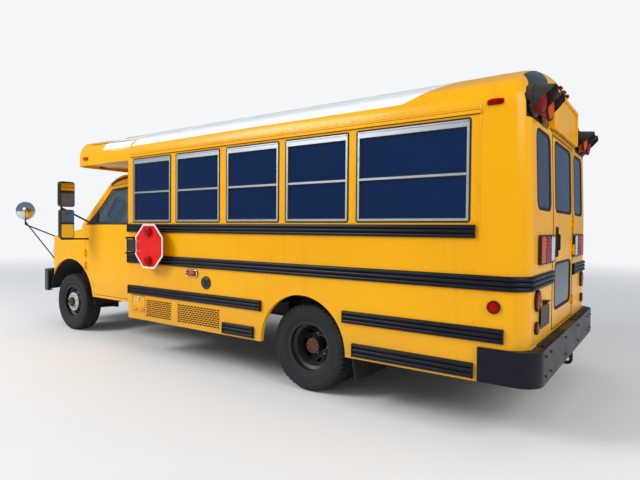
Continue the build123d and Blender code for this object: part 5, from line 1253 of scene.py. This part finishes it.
light_edges = []
for side, _ in sides:
    light_edges.append(band(rounded_loop(side * 0.715 - 0.126, side * 0.715 + 0.126, 0.824, 1.096, 0.02), 4.8052,
                            forward, bead(0.010, 0.006)))
    light_edges.append(box_part(at(4.800, side * 0.715 - 0.122, 0.956), at(4.809, side * 0.715 + 0.122, 0.964), 0.002))
light_edges.append(band(rounded_loop(-0.552, 0.552, 0.808, 1.112, 0.02), 4.815, forward, bead(0.012, 0.006)))
made("headlamp_and_grille_edges", light_edges, chrome, 50)
step_pads = [box_part(at(-1.838, side * 0.62 - 0.36, 0.6115), at(-1.786, side * 0.62 + 0.36, 0.6165), 0.002)
             for side, _ in sides]
made("rear_bumper_step_pads", step_pads, black_rubber)
bumper_surface = surface_of("rear_bumper")
places = []
for y in (-1.02, -0.86, -0.30, 0.30, 0.86, 1.02):
    for z in (0.435, 0.565):
        places += row_of_places(bumper_surface, at(behind_bus, y, z), at(behind_bus, y + 0.001, z), 1, forward,
                                (0.8, 0.8, 0.5))[:1]
set_out("rear_bumper_bolts", nut, places, hub_rust, "bus")

hood_surface = surface_of("hood")
jets = [one_place(hood_surface, at(3.900, y, above_bus), down) for y in (-0.40, 0.40)]
set_out("washer_jets", lathed([(-0.002, 0.014), (0.003, 0.013), (0.010, 0.008), (0.013, 0.004)], 16), jets,
        black_plastic, "hood_lid")
creases = []
for y in (-0.46, 0.46):
    creases.append(laid_bead(hood_surface, [at(3.86, y, above_bus), at(4.66, y * 0.80, above_bus)], down, 0.05,
                             bead(0.022, 0.004)))
made("hood_creases", creases, yellow_enamel, 60, "hood_lid")


# Driver's door: pressed steel with a black glazing channel and a black corner panel that carries the mirror arms,
# a pull handle and its lock.
def from_the_side(surface, points, side, section, closed=True, step=0.04):
    """A band along (along the bus, up) points, landed on a surface from one side."""
    return laid_bead(surface, [at(x, 1.7 * side, z) for x, z in points], (0, -side, 0), step, section, closed)


side_door = surface_of("driver_door")
glazing_channel = from_the_side(side_door, [(2.532, 1.418), (3.562, 1.418), (3.212, 1.834), (2.532, 1.882)], 1,
                                bead(0.026, 0.007))
made("driver_door_glazing", [glazing_channel], black_rubber, 60, "left_door")
door_lean = 0.236           # above its belt line the cab's side leans in this much for each metre up
corners = []
for lift in (0.006, -0.004):
    for x, z in ((3.395, 1.404), (3.520, 1.404), (3.640, 1.404), (3.600, 1.432), (3.520, 1.498), (3.430, 1.574),
                 (3.425, 1.490)):
        corners.append(at(x, 1.0 + lift - (z - 1.4) * door_lean, z))
panel_faces = [list(range(7)), list(range(7, 14))[::-1]]
panel_faces += [[turn, (turn + 1) % 7, (turn + 1) % 7 + 7, turn + 7] for turn in range(7)]
finished("driver_door_corner_panel", built(corners, panel_faces), black_plastic, "left_door")
hit, _ = landed(side_door, at(2.640, 1.7, 1.285), left)
handle = [box_part(hit + Vector((-0.075, -0.004, -0.030)), hit + Vector((0.075, 0.005, 0.030)), 0.004),
          box_part(hit + Vector((-0.066, 0.004, -0.012)), hit + Vector((0.040, 0.016, 0.012)), 0.005),
          lathed([(0.0, 0.011), (0.007, 0.011), (0.009, 0.008)], 16, hit + Vector((0.056, 0.003, 0)), right)]
made("driver_door_handle", handle, black_plastic, body="left_door")

# a black band runs along the cab roof's edge over the door, laid on the cab's side
roof_edge_points = [(3.255, 1.905), (3.160, 1.950), (3.000, 1.982), (2.800, 1.996), (2.420, 2.004)]
roof_edge_band = from_the_side(surface_of("cab_shell"), roof_edge_points, 1, bead(0.030, 0.008), False)
made("cab_gutter", [roof_edge_band], black_rubber, 60)

# mirror clamps: plastic collars hold each head on its post
for side, body in ((1, "left_door"), (-1, "bus")):
    clamps = []
    for z in (1.250, 1.560, 1.680, 1.870):
        clamps.append(lathed([(-0.016, 0.0165), (-0.013, 0.0195), (0.013, 0.0195), (0.016, 0.0165)], 20,
                             at(3.630, side * 1.325, z)))
    made("mirror_clamps_%s" % ("left" if side > 0 else "right"), clamps, black_plastic, body=body)

# Entrance doors: two yellow leaves with glass above and below, in black rubber, with a soft lip where they meet. A
# rubber fin runs round the doorway.
for leaf, body, back, front in (("entrance_leaf_front", "leaf_front", 2.996, 3.414),
                                ("entrance_leaf_rear", "leaf_rear", 2.566, 2.984)):
    leaf_surface = surface_of(leaf)
    leaf_low, leaf_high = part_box(leaf)
    seals = []
    for low, high in ((0.516, 1.066), (1.136, 1.909)):
        loop = rounded_loop(back + 0.060, front - 0.060, low - 0.010, high + 0.010, 0.02)
        seals.append(from_the_side(leaf_surface, loop, -1, bead(0.018, 0.006), True, 0.08))
    lip_x = back - 0.004 if leaf == "entrance_leaf_front" else front + 0.004
    seals.append(box_part(Vector((lip_x + axle_x - 0.004, leaf_low[1] + 0.004, 0.470)),
                          Vector((lip_x + axle_x + 0.004, leaf_high[1] - 0.004, 1.955)), 0.002))
    made(leaf + "_rubbers", seals, black_rubber, 60, body)
doorway = [(2.548, 0.434), (3.432, 0.434), (3.432, 1.998), (2.548, 1.998)]
portal_surface = surface_of("entrance_portal")
made("doorway_rubber", [from_the_side(portal_surface, doorway, -1, bead(0.014, 0.006), True, 0.06)], black_rubber,
     60)

# Underside: ladder frame, leaf springs and axle in chipped black chassis paint over rust, a zinc-coated tank under
# two straps, an exhaust of the same coated steel, and the engine block in oily cast iron.
chassis_paint = mottled("rusting_chassis_paint", "#171514", "#3B281B", 9.0, 0.6, 0.85, 0.001, 120.0, dust=0.2)
engine_iron = mottled("oily_cast_iron", "#2B2A28", "#3D3833", 14.0, 0.5, 0.75, 0.0015, 90.0)
zinc_steel = mottled("dulled_zinc_coated_steel", "#8D9193", "#767773", 16.0, 0.4, 0.6, 0.0006, 110.0, Metallic=1.0)
frame_grey = mottled("grey_powder_coated_tube", "#3A3C3E", "#46484A", 6.0, 0.4, 0.55, 0.0003, 160.0)
ribbed_rubber = mottled("black_floor_rubber", "#151515", "#23221F", 7.0, 0.65, 0.85, 0.0006, 150.0, dust=0.3)
dress(chassis_paint, "chassis_frame", "rear_axle", "suspension", "knuckle_left", "knuckle_right")
dress(engine_iron, "engine")
dress(zinc_steel, "fuel_tank", "exhaust")
dress(frame_grey, "seat_frames")
dress(ribbed_rubber, "floor")
dress(black_plastic, "dashboard")


def strap(x, y_low, y_high, z_low, z_high, radius, width, thickness):
    """A flat band round a tank, across the bus."""
    loop = rounded_loop(y_low, y_high, z_low, z_high, radius, 5)
    facings = []
    for u, v in loop:
        facing = Vector((0, u - min(max(u, y_low + radius), y_high - radius),
                         v - min(max(v, z_low + radius), z_high - radius)))
        facings.append(facing.normalized())
    half = width / 2
    section = [(-half, -0.001), (half, -0.001), (half, thickness), (-half, thickness)]
    return swept([at(x, u, v) for u, v in loop], facings, section)


straps = [strap(x, -0.322, 0.322, 0.428, 0.662, 0.045, 0.032, 0.004) for x in (-1.400, -1.020)]
made("fuel_tank_straps", straps, chassis_paint, 50)

# rivets along both side rails of the frame, painted over
frame_surface = surface_of("chassis_frame")
places = []
for side, towards in sides:
    for z in (0.535, 0.625):
        places += row_of_places(frame_surface, at(-1.4, 1.2 * side, z), at(3.4, 1.2 * side, z), 0.2, towards,
                                (1.6, 1.6, 2.0))
set_out("frame_rivets", rivet, places, chassis_paint, "bus")

# Floor: ribbed rubber down the aisle, with an aluminium strip along each edge
floor_surface = surface_of("floor")
aisle_back, aisle_front, aisle_half, over_floor = -1.55, 2.30, 0.165, 1.1


def aisle_beads(offsets, width, height):
    return [laid_bead(floor_surface, [at(aisle_back, y, over_floor), at(aisle_front, y, over_floor)], down, 0.6,
                      bead(width, height)) for y in offsets]


ribs = aisle_beads([-aisle_half + 2 * aisle_half * index / 12 for index in range(13)], 0.012, 0.004)
strips = aisle_beads((-0.186, 0.186), 0.024, 0.003)
made("aisle_ribs", ribs, ribbed_rubber, 50)
made("aisle_strips", strips, aluminium, 50)

# Seats: foam pads in dark blue coated vinyl, sewn shut with piping along their edges and pulled over the bench frames.
# Ten benches share one cushion and one back; the driver's seat is a cushion, a back and a headrest.
vinyl = mottled("dark_blue_seat_vinyl", "#1D2A42", "#24314B", 6.0, 0.42, 0.58, 0.0006, 320.0)
piping_finish = mottled("seat_piping_vinyl", "#121B2C", "#182238", 6.0, 0.45, 0.6, 0.0003, 320.0)


def evaluated_mesh(holder):
    return bpy.data.meshes.new_from_object(holder.evaluated_get(bpy.context.evaluated_depsgraph_get()))


cloth_pressure, cloth_frames = 4, 20


def stuffed(part, voxel, furthest, rests_at=None, subdivide=False):
    """The form remeshed and blown up as sewn cloth, no point moving further than a limit, flat where it rests."""
    holder = placed("pad", built(*part))
    remesh = holder.modifiers.new("remesh", "REMESH")
    remesh.mode = "VOXEL"
    remesh.voxel_size = voxel
    holder.data = evaluated_mesh(holder)
    holder.modifiers.clear()
    start = [vert.co.copy() for vert in holder.data.vertices]
    cloth = holder.modifiers.new("cloth", "CLOTH")
    cloth.settings.quality = 5
    cloth.settings.use_pressure = True
    cloth.settings.uniform_pressure_force = cloth_pressure
    cloth.settings.effector_weights.gravity = 0
    cloth.point_cache.frame_end = cloth_frames
    for frame_number in range(1, cloth_frames + 1):
        scene.frame_set(frame_number)
    holder.data = evaluated_mesh(holder)
    holder.modifiers.clear()
    scene.frame_set(1)
    for vert, was in zip(holder.data.vertices, start):
        moved = vert.co - was
        if moved.length > furthest:
            vert.co = was + moved * (furthest / moved.length)
        if rests_at is not None:
            vert.co.z = max(vert.co.z, rests_at)
    if subdivide:
        holder.modifiers.new("subdivision", "SUBSURF").levels = 1
        holder.modifiers["subdivision"].render_levels = 1
        holder.data = evaluated_mesh(holder)
        holder.modifiers.clear()
    mesh = holder.data
    bpy.data.objects.remove(holder)
    return mesh


def slab(low, high, lean=0.0, bevel=0.03):
    """A soft-edged box whose top leans back."""
    corners, faces = box_part(low, high, bevel)
    rise = high[2] - low[2]
    return [Vector((c.x - lean * (c.z - low[2]) / rise, c.y, c.z)) for c in corners], faces


def piped(mesh, loop, middle, thickness=0.009):
    """Piping along a loop of spots, each landed on the pad from outside, towards its middle."""
    surface = BVHTree.FromPolygons(*taken_apart(mesh))
    spots, facings = [], []
    for spot in loop:
        inward = (Vector(middle(spot)) - spot).normalized()
        hit, facing = landed(surface, spot - inward * 0.3, inward)
        if hit is not None:
            spots.append(hit)
            facings.append(facing)
    return swept(spots, facings, round_section(thickness * 0.5, 8))


def flat_loop(x_low, x_high, y_low, y_high, z):
    points = rounded_loop(x_low, x_high, y_low, y_high, 0.06, 6)
    return [Vector((x, y, z)) for x, y in filled_loop(points, 0.05)]


def upright_loop(x_low, lean, y_low, y_high, z_low, z_high):
    points = rounded_loop(y_low, y_high, z_low, z_high, 0.06, 6)
    return [Vector((x_low - lean * (z - z_low) / (z_high - z_low), y, z)) for y, z in filled_loop(points, 0.05)]


# one bench is made round x = 0 at the back edge of its cushion, and set out at each place
bench_rows, bench_y, bench_half = (1.830, 1.140, 0.450, -0.240, -0.930), 0.675, 0.463
bench_places = [(at(x, y, 0), (0, 0, 1), (1, 0, 0), (1, 1, 1)) for x in bench_rows for y in (bench_y, -bench_y)]
bench_cushion = stuffed(slab((0.012, -bench_half, 1.086), (0.388, bench_half, 1.172)), 0.016, 0.022, 1.0802)
bench_back = stuffed(slab((-0.086, -bench_half, 1.092), (-0.012, bench_half, 1.706), 0.084), 0.018, 0.016)
for name, mesh, loop, middle in (
        ("bench_cushions", bench_cushion, flat_loop(0.012, 0.388, -bench_half, bench_half, 1.150),
         lambda spot: (0.2, max(-0.26, min(0.26, spot.y)), 1.135)),
        ("bench_backs", bench_back, upright_loop(-0.049, 0.084, -bench_half, bench_half, 1.092, 1.706),
         lambda spot: (-0.049 - 0.084 * (max(1.26, min(1.54, spot.z)) - 1.092) / 0.614,
                       max(-0.26, min(0.26, spot.y)), max(1.26, min(1.54, spot.z))))):
    pads = set_out(name, taken_apart(mesh), bench_places, vinyl, "bus", 80)
    if name == "bench_cushions":
        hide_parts("bench_seats")
    set_out(name + "_piping", piped(mesh, loop, middle), bench_places, piping_finish, "bus", 60)

seat_rows = [
    # name, low corner, high corner, lean, how far a point may move
    ("driver_cushion", (2.655, 0.256, 1.056), (3.045, 0.704, 1.148), 0.0, 0.024),
    ("driver_back", (2.532, 0.258, 1.128), (2.622, 0.702, 1.704), 0.070, 0.014),
    ("driver_headrest", (2.466, 0.362, 1.738), (2.542, 0.598, 1.864), 0.0, 0.014),
]
for name, low, high, lean, furthest in seat_rows:
    low, high = at(*low), at(*high)
    mesh = stuffed(slab(low, high, lean), 0.009, furthest, 1.0505 if name == "driver_cushion" else None, True)
    pad = finished(name, mesh, vinyl, "bus", 80)
    if name == "driver_cushion":
        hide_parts("driver_seat")
        loop = flat_loop(low.x, high.x, low.y, high.y, high.z - 0.022)
        centre = (low + high) / 2
        piping = piped(mesh, loop, lambda spot: (centre.x, max(low.y + 0.2, min(high.y - 0.2, spot.y)),
                                                 high.z - 0.035))
    else:
        loop = upright_loop((low.x + high.x) / 2, lean, low.y, high.y, low.z, high.z)
        piping = piped(mesh, loop, lambda spot: (
            (low.x + high.x) / 2 - lean * (max(low.z + 0.06, min(high.z - 0.06, spot.z)) - low.z) / (high.z - low.z),
            max(low.y + 0.1, min(high.y - 0.1, spot.y)), max(low.z + 0.06, min(high.z - 0.06, spot.z))))
    made(name + "_piping", [piping], piping_finish, 60)

# the headrest's two posts, chrome and pushed down into the back
posts = [rod([at(2.500, y, 1.66), at(2.503, y, 1.75)], 0.006, (1, 0, 0)) for y in (0.430, 0.530)]
made("headrest_posts", posts, chrome)

low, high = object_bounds()
